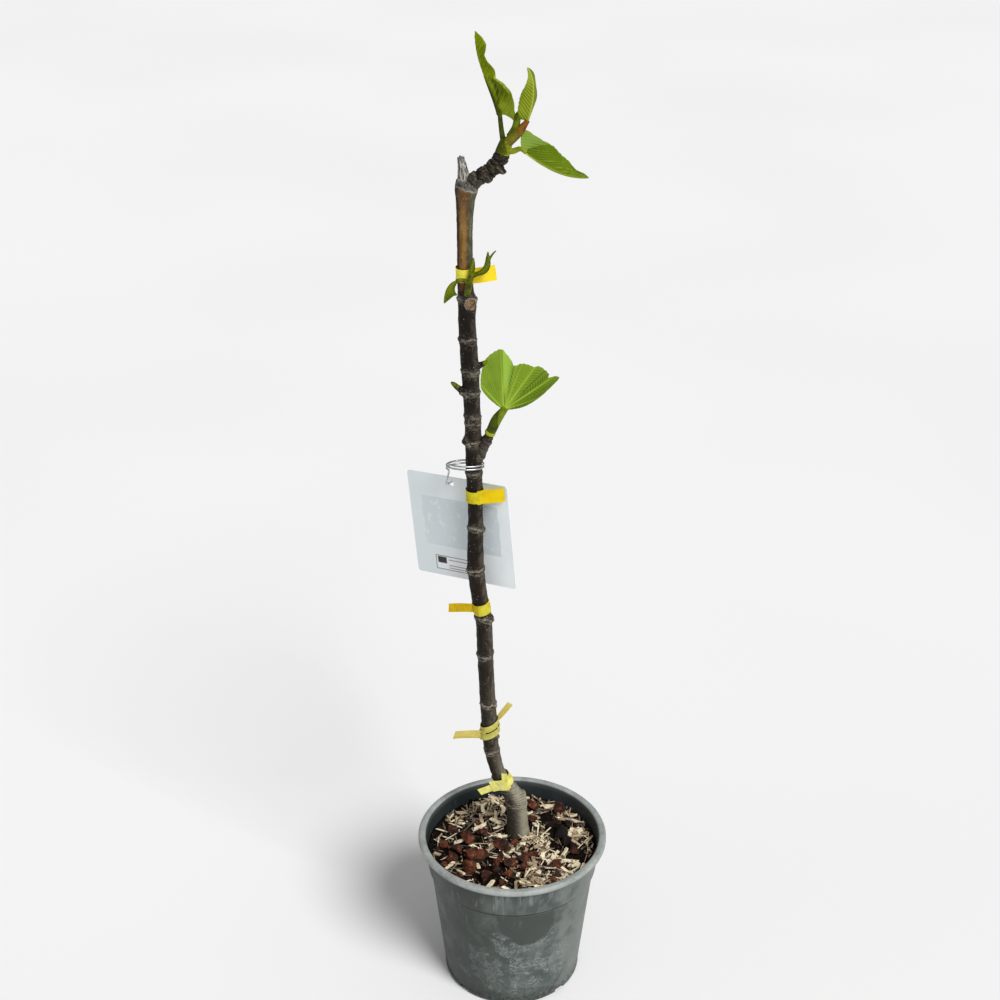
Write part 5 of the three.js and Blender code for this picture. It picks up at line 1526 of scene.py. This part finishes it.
def blade(at, pattern, long, wide, from_v, thickness, tints):
    """Corners, faces and marks of a thin closed leaf whose middle surface is at(u, v)."""
    u, v = np.meshgrid(np.linspace(0, 1, long), np.linspace(from_v, 1, wide), indexing="ij")
    middle = at(u, v)
    normal = unit(np.cross(np.gradient(middle, axis=0), np.gradient(middle, axis=1)))
    height, veins, lines = pattern(u, v, middle)
    middle = middle + normal * height[..., None]
    normal = unit(np.cross(np.gradient(middle, axis=0), np.gradient(middle, axis=1)))
    from_margin = np.minimum(1 - np.abs(v), np.minimum(u, 1 - u) * 2)
    thick = thickness * (0.45 + 0.55 * ease(0, 0.12, from_margin))
    upper = (middle + normal * 0.5 * thick[..., None]).reshape(-1, 3)
    lower = (middle - normal * 0.5 * thick[..., None]).reshape(-1, 3)
    shade, glow = tints(u, v)
    marks = {"vein": np.tile(veins.ravel(), 2), "shade": np.tile(np.clip(shade + lines, 0, 1).ravel(), 2),
             "glow": np.tile(glow.ravel(), 2), "under": np.repeat([0.0, 1.0], long * wide)}
    return np.vstack([upper, lower]), blade_faces(long, wide), marks


def blade_faces(long, wide):
    """Faces of a blade's upper and lower grids of corners, and of the margin between them."""
    count = long * wide
    faces = []
    for i in range(long - 1):
        for k in range(wide - 1):
            a = i * wide + k
            faces.append([a, a + wide, a + wide + 1, a + 1])
            faces.append([count + a, count + a + 1, count + a + wide + 1, count + a + wide])
    margin = [i * wide for i in range(long)] + [(long - 1) * wide + k for k in range(1, wide)]
    margin += [i * wide + wide - 1 for i in range(long - 2, -1, -1)] + list(range(wide - 2, 0, -1))
    for a, b in zip(margin, margin[1:] + margin[:1]):
        faces.append([b, a, count + a, count + b])
    return faces


def folded_blade(leaf, pattern, long, wide, thickness, tints):
    return blade(lambda u, v: folded_point(leaf, u, v), folded_pattern(*pattern), long, wide, -1,
                 thickness, tints)


def leaves(name, blades, materials, node):
    """Joins blades into one piece, each with its own finish."""
    piece = piece_from(name, *merged(blades), materials)
    for key in blades[0][2]:
        mark(piece, **{key: np.concatenate([marks[key] for _corners, _faces, marks in blades])})
    dress(piece, blades, range(len(blades)))
    return finished(piece, "leaf", node)


def midrib_line(leaf, end=0.97, count=30):
    return folded_point(leaf, np.linspace(0, end, count), np.zeros(count))


def limbs(rows, count):
    """Smooth paths and radii of several limbs, each given by a few points and a few radii."""
    return [(flowing(points, count), tapering(radii, count)) for points, radii in rows]


def green_tubes(name, paths, finish, sides):
    return finished(tubes(name, paths, finish, sides), "leaf")


def side_veins(leaf, length, spacing, slope):
    """Side veins of a folded leaf's near half, as paths that taper to the margin."""
    paths = []
    v = np.linspace(0.02, 0.9, 14)
    for k in range(1, int(length / spacing)):
        widths = through(leaf["near"]["outline"], np.full(14, k * spacing / length))
        u = k * spacing / length + slope * v * widths / length
        inside = u < 0.97
        if inside.sum() >= 4:
            paths.append((folded_point(leaf, u[inside], -v[inside]), np.linspace(0.3, 0.14, inside.sum())))
    return paths


def left_tints(u, v):
    """Painted shade down the crease of the folded lower lobe, on the lobe beyond it, beside the midrib and
    on the far half; a painted highlight on the rolled margin; and pale rays where the lobe sets out.
    """
    out = np.abs(v) * (v < 0)
    lower = ease(0.44, 0.4, u)
    past_fold = out + 0.05 - 1.6 * u
    # Painted shade down the crease of the folded lower lobe, and on the lobe beyond it.
    fold_shade = bell(past_fold, 0.1) * ease(0.07, 0.16, u) * lower
    inner = 0.5 * ease(0.0, 0.12, past_fold) * ease(0.85, 0.78, out)
    inner = inner * ease(0.13, 0.24, u) * lower
    # Painted shade beside the midrib.
    midrib_shade = 0.6 * ease(0.22, 0.05, np.abs(v)) * ease(0.65, 0.4, u)
    # A painted highlight on the rolled margin.
    rim_highlight = ease(0.8, 0.87, out) * ease(0.18, 0.28, u) * ease(0.46, 0.42, u)
    ray = bell(((u + 0.1 * out) / 0.03) % 1 - 0.5, 0.15) * ease(0.26, 0.33, u) * lower
    belly = 0.3 * ease(0.2, 0.1, u) * ease(0.15, 0.3, out)
    # The far half also carries painted shade.
    shade = np.maximum(np.maximum(fold_shade, inner), np.maximum(midrib_shade, 0.5 * (v > 0)))
    glow = np.maximum(np.maximum(rim_highlight, 0.55 * ray * ease(0.1, 0.25, out)), belly)
    return shade * (1 - rim_highlight), glow


def centre_tints(u, v):
    # Darker near the base, painted shade on the far half, and paler towards the tip.
    far = ease(-0.02, 0.06, v)
    return 0.3 * ease(0.2, 0.0, u) + 0.8 * far, (0.8 - 0.6 * far) * ease(0.6, 0.97, u)


def right_tints(u, v):
    """The far half shows its paler side, and the near half is darkest near its foot."""
    near = (v < 0) * 1.0
    seam = ease(0.13, 0.04, np.abs(v))
    return 0.3 * near * ease(0.5, 0.15, u), 0.75 * (1 - near) + near * 0.8 * seam


def sheath_finish():
    """An olive sheath that turns orange where it has been in the sun."""
    f = Finish("olive_orange_sheath", roughness=0.5, specular=0.25)
    olive = f.ramp(f.cloud(5, 4), (0.32, (0.1, 0.088, 0.002)), (0.68, (0.2, 0.165, 0.006)))
    orange = f.ramp(f.cloud(3, 3), (0.32, (0.15, 0.03, 0.002)), (0.68, (0.26, 0.095, 0.006)))
    sunny = f.spot((10, -6, 899), (8, 10, 9), 0.8, f.drift(3, 3, 0.4))
    return f.done(f.coated(olive, (sunny, orange)), f.relief(f.cloud(0.9, 2), 0.08, 0.5))


def stem_finish():
    """The top shoot's stem: painted light makes it yellow-green on the right, and painted shade makes it
    deep green on its left.
    """
    f = Finish("yellow_green_stem", roughness=0.5, specular=0.12)
    lime = f.ramp(f.cloud(6, 3), (0.3, (0.15, 0.18, 0.003)), (0.7, (0.29, 0.32, 0.02)))
    deep = f.ramp(f.cloud(4, 3), (0.3, (0.03, 0.042, 0.001)), (0.7, (0.08, 0.1, 0.003)))
    side_for_painted_light = f.sum("ADD", f.axis("X"), f.drift(5, 3, 0.0025))
    # A shaded and a lit copy of the green, split left and right: painted shade and painted light.
    green = f.coated(deep, (f.slope(side_for_painted_light, -0.0098, -0.0046), lime))
    return f.done(green, f.relief(f.cloud(0.8, 2), 0.08, 0.5))


def make_top_leaves():
    blades = [
        folded_blade(LEFT_LEAF, (72, 5, 0.9, 0.7, 0.25), 190, 48, 0.5, left_tints),
        folded_blade(CENTRE_LEAF, (50, 3.4, 1.1, 0.6, 0.3), 120, 50, 0.5, centre_tints),
        folded_blade(RIGHT_LEAF, (62, 5.2, 2.2, 0.6, 0.15), 150, 56, 0.5, right_tints),
    ]
    finishes = [
        leaf_finish("left_leaf_green", (0.07, 0.105, 0.0005), (0.185, 0.24, 0.002), (0.3, 0.37, 0.02),
                    (0.13, 0.18, 0.006), (0.36, 0.44, 0.05)),
        leaf_finish("centre_leaf_green", (0.1, 0.14, 0.0005), (0.205, 0.26, 0.003), (0.46, 0.54, 0.07),
                    (0.2, 0.26, 0.008), (0.55, 0.65, 0.09)),
        leaf_finish("right_leaf_green", (0.09, 0.145, 0.0005), (0.16, 0.235, 0.002), (0.29, 0.38, 0.02),
                    (0.15, 0.24, 0.01), (0.25, 0.385, 0.07), 0.2),
    ]
    leaves("top_leaves", blades, finishes, "foliage_top")
    ribs = [(midrib_line(CENTRE_LEAF), np.linspace(0.45, 0.25, 30)),
            (midrib_line(RIGHT_LEAF), np.linspace(0.8, 0.3, 30))]
    ribs += side_veins(CENTRE_LEAF, 50, 3.4, 1.1) + side_veins(RIGHT_LEAF, 62, 10.4, 2.2)
    pale = stalk_finish("pale_vein", (0.3, 0.38, 0.04), (0.46, 0.54, 0.08), (0.4, 0.48, 0.06))
    green_tubes("top_leaf_veins", ribs, pale, 8)


def make_top_stems():
    """The top shoot's stem, the stalks of its leaves and the sheath."""
    stems = limbs([
        ([(-10.3, 1.95, 872.7), (-8.4, 1.6, 878.4), (-6.6, 1, 884.6)], [6.4, 6, 5]),
        ([(-9, 1, 875.6), (-2, -1, 875), (4.8, -4, 877.8), (9.6, -6, 875)], [3, 2.6, 2, 1.7]),
    ], 40)
    green_tubes("top_stem", stems, stem_finish(), 24)
    left = limbs([([(-9.2, 1.2, 880), (-11.3, 2, 893), (-12.9, 4, 908)], [2.6, 2.1, 1.9])], 40)
    left.append((midrib_line(LEFT_LEAF, 0.5), np.linspace(1.8, 0.1, 30)))
    deep = stalk_finish("deep_green_stalk", (0.02, 0.03, 0.001), (0.055, 0.078, 0.0015), (0.08, 0.1, 0.006))
    green_tubes("top_stalks", left, deep, 24)
    middle = limbs([([(-4, 0, 887), (0.4, -1, 895), (2.2, -2, 905.5), (2.9, -2.2, 909.5)],
                     [3.4, 3.2, 2.6, 0.5])], 40)
    green = stalk_finish("middle_stalk", (0.05, 0.07, 0.001), (0.13, 0.17, 0.003), (0.17, 0.21, 0.01))
    green_tubes("middle_stalk", middle, green, 24)
    sheath = limbs([([(-7, 0.6, 881), (3.4, -2, 892), (10.6, -3.4, 901.6)], [4.4, 3.9, 1.9])], 40)
    green_tubes("top_sheath", sheath, sheath_finish(), 24)


def young_tints(u, v):
    """Young leaves carry painted shade along one side and are dark towards their tips, with a painted
    highlight on the crest.
    """
    # Painted shade on the far side; a painted highlight on the crest.
    dark = 0.75 * ease(0.25, 0.75, v) + 0.5 * ease(0.7, 1.0, u)
    return np.clip(dark, 0, 0.85), 0.6 * bell(v + 0.3, 0.22) * ease(0.85, 0.5, u)


def make_upper_foliage():
    young = [(SPIKE_LEAF, 19), (HOOKED_LEAF, 28), (HOOK_POINT, 12), (DROOPING_LEAF, 28)]
    blades = [folded_blade(leaf, (length, 3, 0.8, 0.3, 0.3), 50, 20, 0.7, young_tints)
              for leaf, length in young]
    finish = leaf_finish("young_leaf_green", (0.02, 0.03, 0.0008), (0.11, 0.145, 0.003), (0.2, 0.24, 0.012),
                         (0.08, 0.11, 0.004), (0.21, 0.26, 0.012), 0.3, 3.2)
    leaves("upper_leaves", blades, [finish] * len(blades), "foliage_upper")
    paths = limbs([
        ([(-40.9, -0.6, 748), (-40.1, -4.4, 753), (-38.7, -6.2, 761), (-36.2, -6.6, 769)], [3.1, 2.8, 2.5]),
        ([(-39.2, -6, 761), (-45, -7.6, 763.2), (-50, -9.2, 763.2)], [2, 1.9, 1.7]),
        ([(-37, -6.5, 766.6), (-32, -7.4, 768.8)], [2.2, 1.9]),
    ], 30)
    paths += [(midrib_line(leaf, 0.96, 20), np.linspace(0.8, 0.25, 20)) for leaf, _length in young]
    green = stalk_finish("young_stalk_green", (0.03, 0.036, 0.001), (0.16, 0.18, 0.004),
                         (0.2, 0.23, 0.01), 3.4)
    green_tubes("upper_stalks", paths, green, 18)
    tips = limbs([([(-49.5, 3, 657.5), (-53, 2.3, 661), (-56, 1.8, 663.6)], [2.3, 2.3, 1.9, 0.7]),
                  ([(-27.5, 2.5, 681), (-24, 1.9, 684)], [2.3, 2, 1])], 16)
    green_tubes("green_bud_tips", tips, green, 16)


def fan_tints(u, v):
    """Painted shade on the lobes beside the pale smooth band and in a valley between them, a bright foot,
    and a dark wedge beside it.
    """
    angle = FAN_FROM + u * (FAN_TO - FAN_FROM)
    # Painted shade on the lobes and in the valley near 42 degrees.
    dark = 0.14 * ease(92, 95, angle) + 0.14 * ease(54, 50, angle)
    dark += 0.25 * ease(33.5, 31, angle)
    dark += 0.2 * bell(angle - 42, 7) * ease(0.2, 0.5, v)
    dark = np.maximum(dark, 0.2 * ease(120, 150, angle)) * ease(0.1, 0.4, v)
    pale = 0.9 * ease(76, 77.5, angle) * ease(92.5, 91, angle) * ease(0.25, 0.5, v)
    foot = 0.6 * ease(34, 46, angle) * ease(84, 74, angle) * ease(0.48, 0.15, v)
    wedge = 0.75 * ease(80, 84, angle) * ease(99, 94, angle) * ease(0.34, 0.14, v)
    return np.maximum(dark, wedge), np.maximum(pale, foot) * (1 - wedge)


def make_mid_foliage():
    finish = leaf_finish("fan_leaf_green", (0.095, 0.17, 0.004), (0.19, 0.295, 0.014), (0.32, 0.45, 0.035),
                         (0.22, 0.34, 0.03), (0.265, 0.42, 0.05))
    fan = blade(fan_point, fan_pattern, 340, 96, 0.05, 0.5, fan_tints)
    leaves("fan_leaf", [fan], [finish], "foliage_mid")
    paths = []
    for angle in FAN_VEINS:
        u = np.full(30, (angle - FAN_FROM) / (FAN_TO - FAN_FROM))
        paths.append((fan_point(u, np.linspace(0.04, 0.9, 30)), np.linspace(0.62, 0.14, 30)))
    pale = stalk_finish("fan_vein", (0.3, 0.42, 0.035), (0.4, 0.52, 0.06), (0.34, 0.46, 0.05))
    green_tubes("fan_leaf_veins", paths, pale, 8)
    line = flowing([(-21.9, -1.05, 613.9), (-19.1, -2.2, 620.6), (-14.9, -3.2, 631), (-9.1, -4, 641.8)], 50)
    green = stalk_finish("mid_stem_green", (0.03, 0.045, 0.001), (0.09, 0.12, 0.003), (0.14, 0.17, 0.02))
    green_tubes("mid_stem", [(line[:46], tapering([4.2, 4.6, 4.5, 2.2], 46))], green, 28)
    light = stalk_finish("mid_stalk_green", (0.12, 0.17, 0.003), (0.2, 0.27, 0.01), (0.26, 0.32, 0.04))
    beside = line[12:] + np.linspace([2.0, -1.0, -0.8], [1.0, -1.2, -0.4], len(line) - 12)
    green_tubes("mid_stalk", [(beside, tapering([1.4, 2.8, 3.3, 3.4], len(beside)))], light, 22)
    ring = stalk_finish("mid_stem_ring", (0.26, 0.3, 0.008), (0.36, 0.4, 0.03), (0.4, 0.44, 0.08))
    swelling = [4.2, 4.7, 4.95, 5, 5, 4.95, 4.9, 4.8, 4.65, 4.4]
    green_tubes("mid_stem_ring", [(line[:len(swelling)], swelling)], ring, 28)


# ---- tape ties

TAPE_THICKNESS = 0.4
TAPE_CUP = 0.35
TAPE_CREASE = 0.25
LOOP_STEPS = 90
LOOP_SINK = 0.4


def square_to_trunk(z, tilt):
    """How a loop lying flat round the origin gets to its place on the trunk, square to its run, and
    how far a leaning trunk's section is narrower on that plane."""
    half_width = 6
    x, y, _r = trunk_at(np.array([z - half_width, z, z + half_width]))
    up = Vector((x[2] - x[0], y[2] - y[0], 2 * half_width)).normalized()
    side = (Vector((1, 0, 0)) - up * up.x).normalized()
    turn = Matrix((side, up.cross(side), up)).transposed()
    rise, fall = (math.tan(math.radians(angle)) for angle in tilt)
    slant = Matrix(((1, 0, 0), (0, 1, 0), (-fall, rise, 1)))
    return np.array(turn @ slant), np.array([x[1], y[1], z]), np.array([up.z, 1, 1])


def ribbon(points, ups, width, number):
    """Corners and faces of a thin closed ribbon along a path, a little cupped and creased."""
    points, ups = np.asarray(points), unit(np.asarray(ups))
    ahead = unit(np.gradient(points, axis=0))
    face = unit(np.cross(ahead, ups))
    across = np.linspace(-1, 1, 9)
    rings = len(points)
    places = points[:, None] + ups[:, None] * (across * width / 2)[None, :, None]
    waves = rough(places.reshape(-1, 3) * [0.7, 0.7, 1.4], 3.2, number).reshape(rings, 9)
    bend = TAPE_CUP * across[None, :] ** 2 + TAPE_CREASE * waves
    outer = places + face[:, None] * (bend + TAPE_THICKNESS / 2)[..., None]
    inner = places + face[:, None] * (bend - TAPE_THICKNESS / 2)[..., None]
    corners = np.concatenate([outer, inner[:, ::-1]], axis=1).reshape(-1, 3)
    return corners, ring_faces(rings, 18)


def loop_path(radius, start, end):
    """A turn of tape round the trunk: it winds from start to end, in degrees, easing outwards."""
    turn = np.radians(np.linspace(start, end, LOOP_STEPS))
    wide = radius + np.linspace(0, 0.7, LOOP_STEPS)
    sink = LOOP_SINK * np.linspace(-1, 1, LOOP_STEPS)
    return wound(wide, turn, sink), np.tile([0.0, 0, 1], (LOOP_STEPS, 1))


def tail_path(radius, leaves_at, runs, length, rise, lift):
    """A tail of tape: it lies on the loop, lifts off it and runs away in its own direction."""
    turn, run, slope = (math.radians(a) for a in (leaves_at, runs, rise))
    ahead = np.array([math.cos(slope) * math.cos(run), math.cos(slope) * math.sin(run), math.sin(slope)])
    up = np.array([-math.sin(slope) * math.cos(run), -math.sin(slope) * math.sin(run), math.cos(slope)])
    winding = 1 if math.sin(run - turn) > 0 else -1
    lead = np.radians(leaves_at - winding * np.linspace(38, 0, 9))
    on_loop = wound(radius, lead, np.linspace(0.3, 1, 9) * lift)
    s = np.linspace(0, 1, 22)[1:, None]
    flutter = np.cross(ahead, up) * (0.5 * np.sin(s * 3.4) * length / 20)
    free = on_loop[-1] + ahead * s * length + flutter
    points = np.vstack([on_loop, free])
    blend_up = np.clip(np.linspace(-0.5, 1.4, len(points)), 0, 1)[:, None]
    ups = unit(np.array([0, 0, 1]) * (1 - blend_up) + up * blend_up)
    return points, ups


# Ties from the top down: height; the loop's rise to the back and fall to the right; loops (start,
# end, width, offset); tails (leaves, runs, length, rise, lift, width, clearance outside the loop).
TIES = [
    (765, (3, -2), [(-440, -10, TAPE_WIDTH, 0)], [(-35, -3, 21, 7.5, -1.1, 14, -0.15)]),
    (549, (2, -1), [(-440, -10, TAPE_WIDTH, 0)], [(-35, -2, 21, 5, -0.7, 14, -0.15)]),
    (427, (2, 0), [(270, -110, TAPE_WIDTH, 0)], [(-150, 182, 22.8, 12.3, 2.5, 9.5, 0.95)]),
    (284, (0, -22), [(250, -120, 7, 3.8), (-60, 310, 7, -3.8)],
     [(-150, 176, 28.8, 20.3, -1.6, 9.6, 0.95), (60, 0, 22.2, 41.3, -1.7, 6, 0.6)]),
    (219, (0, 10), [(-450, -70, 9, 0.8), (250, -110, 7, -1.8)],
     [(-75, -6, 15, 66, 0, 6, 0.95), (-95, 178, 10.5, 6, 0, 13, 1.4), (-95, -4, 6, -8, 0, 12, 1.9),
      (-100, 183, 23, -3, 0, 8, 1.0)]),
]


def make_tie(number, z, tilt, loops, tails, finishes):
    turn, centre, squeeze = square_to_trunk(z, tilt)
    reach = max(abs(offset) + width / 2 for _start, _end, width, offset in loops)
    radius = trunk_at(z + np.linspace(-1, 1, 9) * reach)[2].max() + 0.55
    shells = []

    def placed(points, ups, width, seed):
        shells.append(ribbon(points @ turn.T + centre, ups @ turn.T, width, seed))

    for k, (start, end, width, offset) in enumerate(loops):
        points, ups = loop_path(radius + 0.55 * k, start, end)
        placed(points * squeeze + [0, 0, offset], ups, width, 10 * number + k)
    for k, (leaves_at, runs, length, rise, lift, width, clearance) in enumerate(tails):
        points, ups = tail_path(radius + clearance, leaves_at, runs, length, rise, lift)
        foot = wound(1, math.radians(leaves_at), 0)
        points = points + (radius + clearance) * foot * (squeeze - 1)
        placed(points, ups, width, 10 * number + 5 + k)
    piece = piece_from(f"tape_{number}", *merged(shells), finishes)
    dress(piece, shells, [0] * len(loops) + [1] * len(tails))
    split_sharp(piece, 40)
    return finished(piece, "tape", f"tie_{number}")


# Colours of each tie from the top down: its band, what clouds the band, its tails, what clouds them.
TAPE_COLOURS = [
    ((0.97, 0.9, 0.09), (0.9, 0.78, 0.05), (0.95, 0.74, 0.03), (0.86, 0.6, 0.012)),
    ((0.66, 0.57, 0.016), (0.48, 0.38, 0.009), (0.78, 0.56, 0.004), (0.68, 0.45, 0.002)),
    ((0.62, 0.54, 0.04), (0.4, 0.32, 0.016), (0.57, 0.39, 0.005), (0.44, 0.28, 0.002)),
    ((0.55, 0.51, 0.12), (0.42, 0.38, 0.08), (0.66, 0.55, 0.15), (0.52, 0.41, 0.08)),
    ((0.8, 0.77, 0.21), (0.6, 0.52, 0.06), (0.86, 0.83, 0.27), (0.68, 0.62, 0.12)),
]


def make_ties():
    for number, (row, colours) in enumerate(zip(TIES, TAPE_COLOURS), 1):
        band = tape_finish(f"band_tape_{number}", *colours[:2])
        tails = tape_finish(f"tail_tape_{number}", *colours[2:])
        make_tie(number, *row, [band, tails])


# ---- label card and wire

CARD_THICKNESS = 0.7
CARD_CORNER = 3
CARD_CUTS = 20
CARD_TURNS = (("Z", -27), ("X", 93.5), ("Z", 3.4))     # yaw, lean and roll, in degrees


def on_card(points):
    """Points of the card lying flat, brought to where it hangs."""
    place = Matrix.Translation(CARD_CENTRE)
    for axis, degrees in CARD_TURNS:
        place = place @ Matrix.Rotation(math.radians(degrees), 4, axis)
    place = np.array(place)
    return points @ place[:3, :3].T + place[:3, 3]


def card_outlines():
    """The card's outline with its rounded corners, and its hole."""
    x, y = CARD_WIDTH / 2 - CARD_CORNER, CARD_HEIGHT / 2 - CARD_CORNER
    outline = []
    for corner_x, corner_y, start in ((x, y, 0), (-x, y, 90), (-x, -y, 180), (x, -y, 270)):
        for degrees in range(start, start + 91, 15):
            a = math.radians(degrees)
            outline.append((corner_x + CARD_CORNER * math.cos(a), corner_y + CARD_CORNER * math.sin(a)))
    hole = [(CARD_HOLE[0] + CARD_HOLE_RADIUS * math.cos(a), CARD_HOLE[1] + CARD_HOLE_RADIUS * math.sin(a))
            for a in all_round(24)]
    return outline, hole


def filled_card():
    """The card's outline and hole, filled flat, for further cuts."""
    flat = bpy.data.curves.new("card_outline", "CURVE")
    flat.dimensions = "2D"
    flat.fill_mode = "BOTH"
    for points in card_outlines():
        spline = flat.splines.new("POLY")
        spline.points.add(len(points) - 1)
        spline.points.foreach_set("co", [c for px, py in points for c in (px, py, 0, 1)])
        spline.use_cyclic_u = True
    source = new_object("card_outline", flat)
    graph = bpy.context.evaluated_depsgraph_get()
    mesh = bpy.data.meshes.new_from_object(source.evaluated_get(graph), depsgraph=graph)
    bpy.data.objects.remove(source)
    bpy.data.curves.remove(flat)
    shell = bmesh.new()
    shell.from_mesh(mesh)
    bpy.data.meshes.remove(mesh)
    bmesh.ops.remove_doubles(shell, verts=shell.verts, dist=1e-4)
    return shell


def card_sheet():
    """Corners, faces and open edges of the flat card, cut into a grid so that it can bow."""
    shell = filled_card()
    for axis, reach in ((0, CARD_WIDTH / 2), (1, CARD_HEIGHT / 2)):
        for cut in np.linspace(-reach, reach, CARD_CUTS + 2)[1:-1]:
            place, normal = [0.0, 0.0, 0.0], [0.0, 0.0, 0.0]
            place[axis], normal[axis] = cut, 1.0
            everything = shell.verts[:] + shell.edges[:] + shell.faces[:]
            bmesh.ops.bisect_plane(shell, geom=everything, plane_co=place, plane_no=normal)
    bmesh.ops.triangulate(shell, faces=shell.faces)
    for face in shell.faces:
        if face.normal.z < 0:
            face.normal_flip()
    shell.verts.index_update()
    corners = np.array([v.co for v in shell.verts])
    faces = [[v.index for v in face.verts] for face in shell.faces]
    sides = [edge.link_loops[0] for edge in shell.edges if edge.is_boundary]
    rims = [(side.vert.index, side.link_loop_next.vert.index) for side in sides]
    shell.free()
    return corners, faces, rims


def make_card():
    """The card: rounded corners, one hole, and a faint bow across it."""
    sheet, faces, rims = card_sheet()
    count = len(sheet)
    across, up = sheet[:, 0] / (CARD_WIDTH / 2), sheet[:, 1] / (CARD_HEIGHT / 2)
    bow = 0.5 * across**2 - 0.4 * up**2
    corners = np.vstack([sheet, sheet])
    corners[:, 2] = np.concatenate([bow * 0.5 + CARD_THICKNESS / 2, bow * 0.5 - CARD_THICKNESS / 2])
    faces = faces + [[count + k for k in face[::-1]] for face in faces]
    faces += [[b, a, count + a, count + b] for a, b in rims]
    card = piece_from("label_card_sheet", on_card(corners), faces, [card_finish()], smooth=False)
    layer = card.data.uv_layers.new(name="print")
    loops = np.empty(len(card.data.loops), dtype=int)
    card.data.loops.foreach_get("vertex_index", loops)
    spread = corners[loops, :2] / [CARD_WIDTH, CARD_HEIGHT] + 0.5
    layer.data.foreach_set("uv", spread.ravel())
    return finished(card, "card", "label_card")


WIRE_Z = 578.9
WIRE_TURNS = 2
WIRE_HALF_LENGTH = 17
WIRE_PITCH = 3
WIRE_TILT = 0.1


def make_wire():
    """Wire twice round the trunk as a long oval, then down through the card's hole."""
    x, y, radius = (float(value) for value in trunk_at(WIRE_Z))
    beside = radius + 0.3 + WIRE_RADIUS
    half_depth = beside + 2.2
    middle = x - WIRE_HALF_LENGTH + beside + 0.3
    s = np.linspace(0, 1, 17 * WIRE_TURNS + 1)
    angle = math.pi * (1 + 2 * WIRE_TURNS * s) + 0.5
    forward = -half_depth * np.sin(angle)
    loops = np.stack([middle + WIRE_HALF_LENGTH * np.cos(angle), y - forward,
                      WIRE_Z + WIRE_PITCH * WIRE_TURNS * (0.5 - s) + WIRE_TILT * forward], axis=1)
    hook_y = CARD_HOLE[1] + CARD_HOLE_RADIUS - WIRE_RADIUS - 0.3
    hook = [(CARD_HOLE[0], hook_y + up, out) for up, out in ((3.6, 9), (1.2, 3.5), (0, 0), (-0.8, -3.4))]
    path = np.vstack([loops, on_card(np.array(hook))])
    fine = flowing(path, 6 * len(path))
    wire = tubes("label_wire_loop", [(fine, np.full(len(fine), WIRE_RADIUS))], wire_finish(), 12)
    return finished(wire, "wire", "label_wire")


# ---- room, lights and camera

FLOOR_REACH = 9000
FLOOR_Z = -0.4
WORLD_STRENGTH = 0.34
LIGHT_SIDE = (0.5, -0.7, 0.9)
LIGHT_STRENGTH = 2.8
LIGHT_SPREAD = 26           # degrees
CAMERA_PLACE = (-12.4, -1467.6, 1310.3)
CAMERA_TILT = 62.5          # degrees up from straight down


def make_room():
    """A pale floor and an even white world."""
    pale = Finish("pale_floor", roughness=0.9, specular=0.1)
    shade = pale.ramp(pale.cloud(900, 1), (0.3, (0.9, 0.9, 0.9)), (0.7, (0.93, 0.93, 0.93)))
    r = FLOOR_REACH
    corners = [(x, y, FLOOR_Z) for x, y in ((-r, -r), (r, -r), (r, r), (-r, r))]
    piece_from("floor", corners, [[0, 1, 2, 3]], [pale.done(shade)], smooth=False)
    world = bpy.data.worlds.new("soft_studio")
    world.use_nodes = True
    background = world.node_tree.nodes["Background"].inputs
    background["Color"].default_value = (1, 1, 1, 1)
    background["Strength"].default_value = WORLD_STRENGTH
    bpy.context.scene.world = world


def make_light():
    """An even, soft light from the front, high on the right."""
    data = bpy.data.lights.new("key_light", "SUN")
    data.energy = LIGHT_STRENGTH
    data.angle = math.radians(LIGHT_SPREAD)
    light = new_object("key_light", data)
    light.location = LIGHT_SIDE
    light.rotation_euler = Vector(LIGHT_SIDE).to_track_quat("Z", "Y").to_euler()


def make_camera():
    data = bpy.data.cameras.new("front_camera")
    data.lens = 64.8
    data.sensor_width = 36
    data.clip_end = 60
    camera = new_object("front_camera", data)
    camera.location = [side * MM for side in CAMERA_PLACE]
    camera.rotation_euler = (math.radians(CAMERA_TILT), 0, 0)
    bpy.context.scene.camera = camera
    bpy.context.scene.view_settings.view_transform = "Standard"


# ---- the whole plant

TUBE = tube_tree()
SCATTER = scatter_tree()

make_camera()
make_room()
make_light()
make_pot()
compost_bed = make_bed()
make_mulch(compost_bed)
make_chunks()
fig_trunk = make_trunk()
make_pores(fig_trunk)
make_dead_tip()
make_spurs()
make_top_leaves()
make_top_stems()
make_upper_foliage()
make_mid_foliage()
make_ties()
make_card()
make_wire()
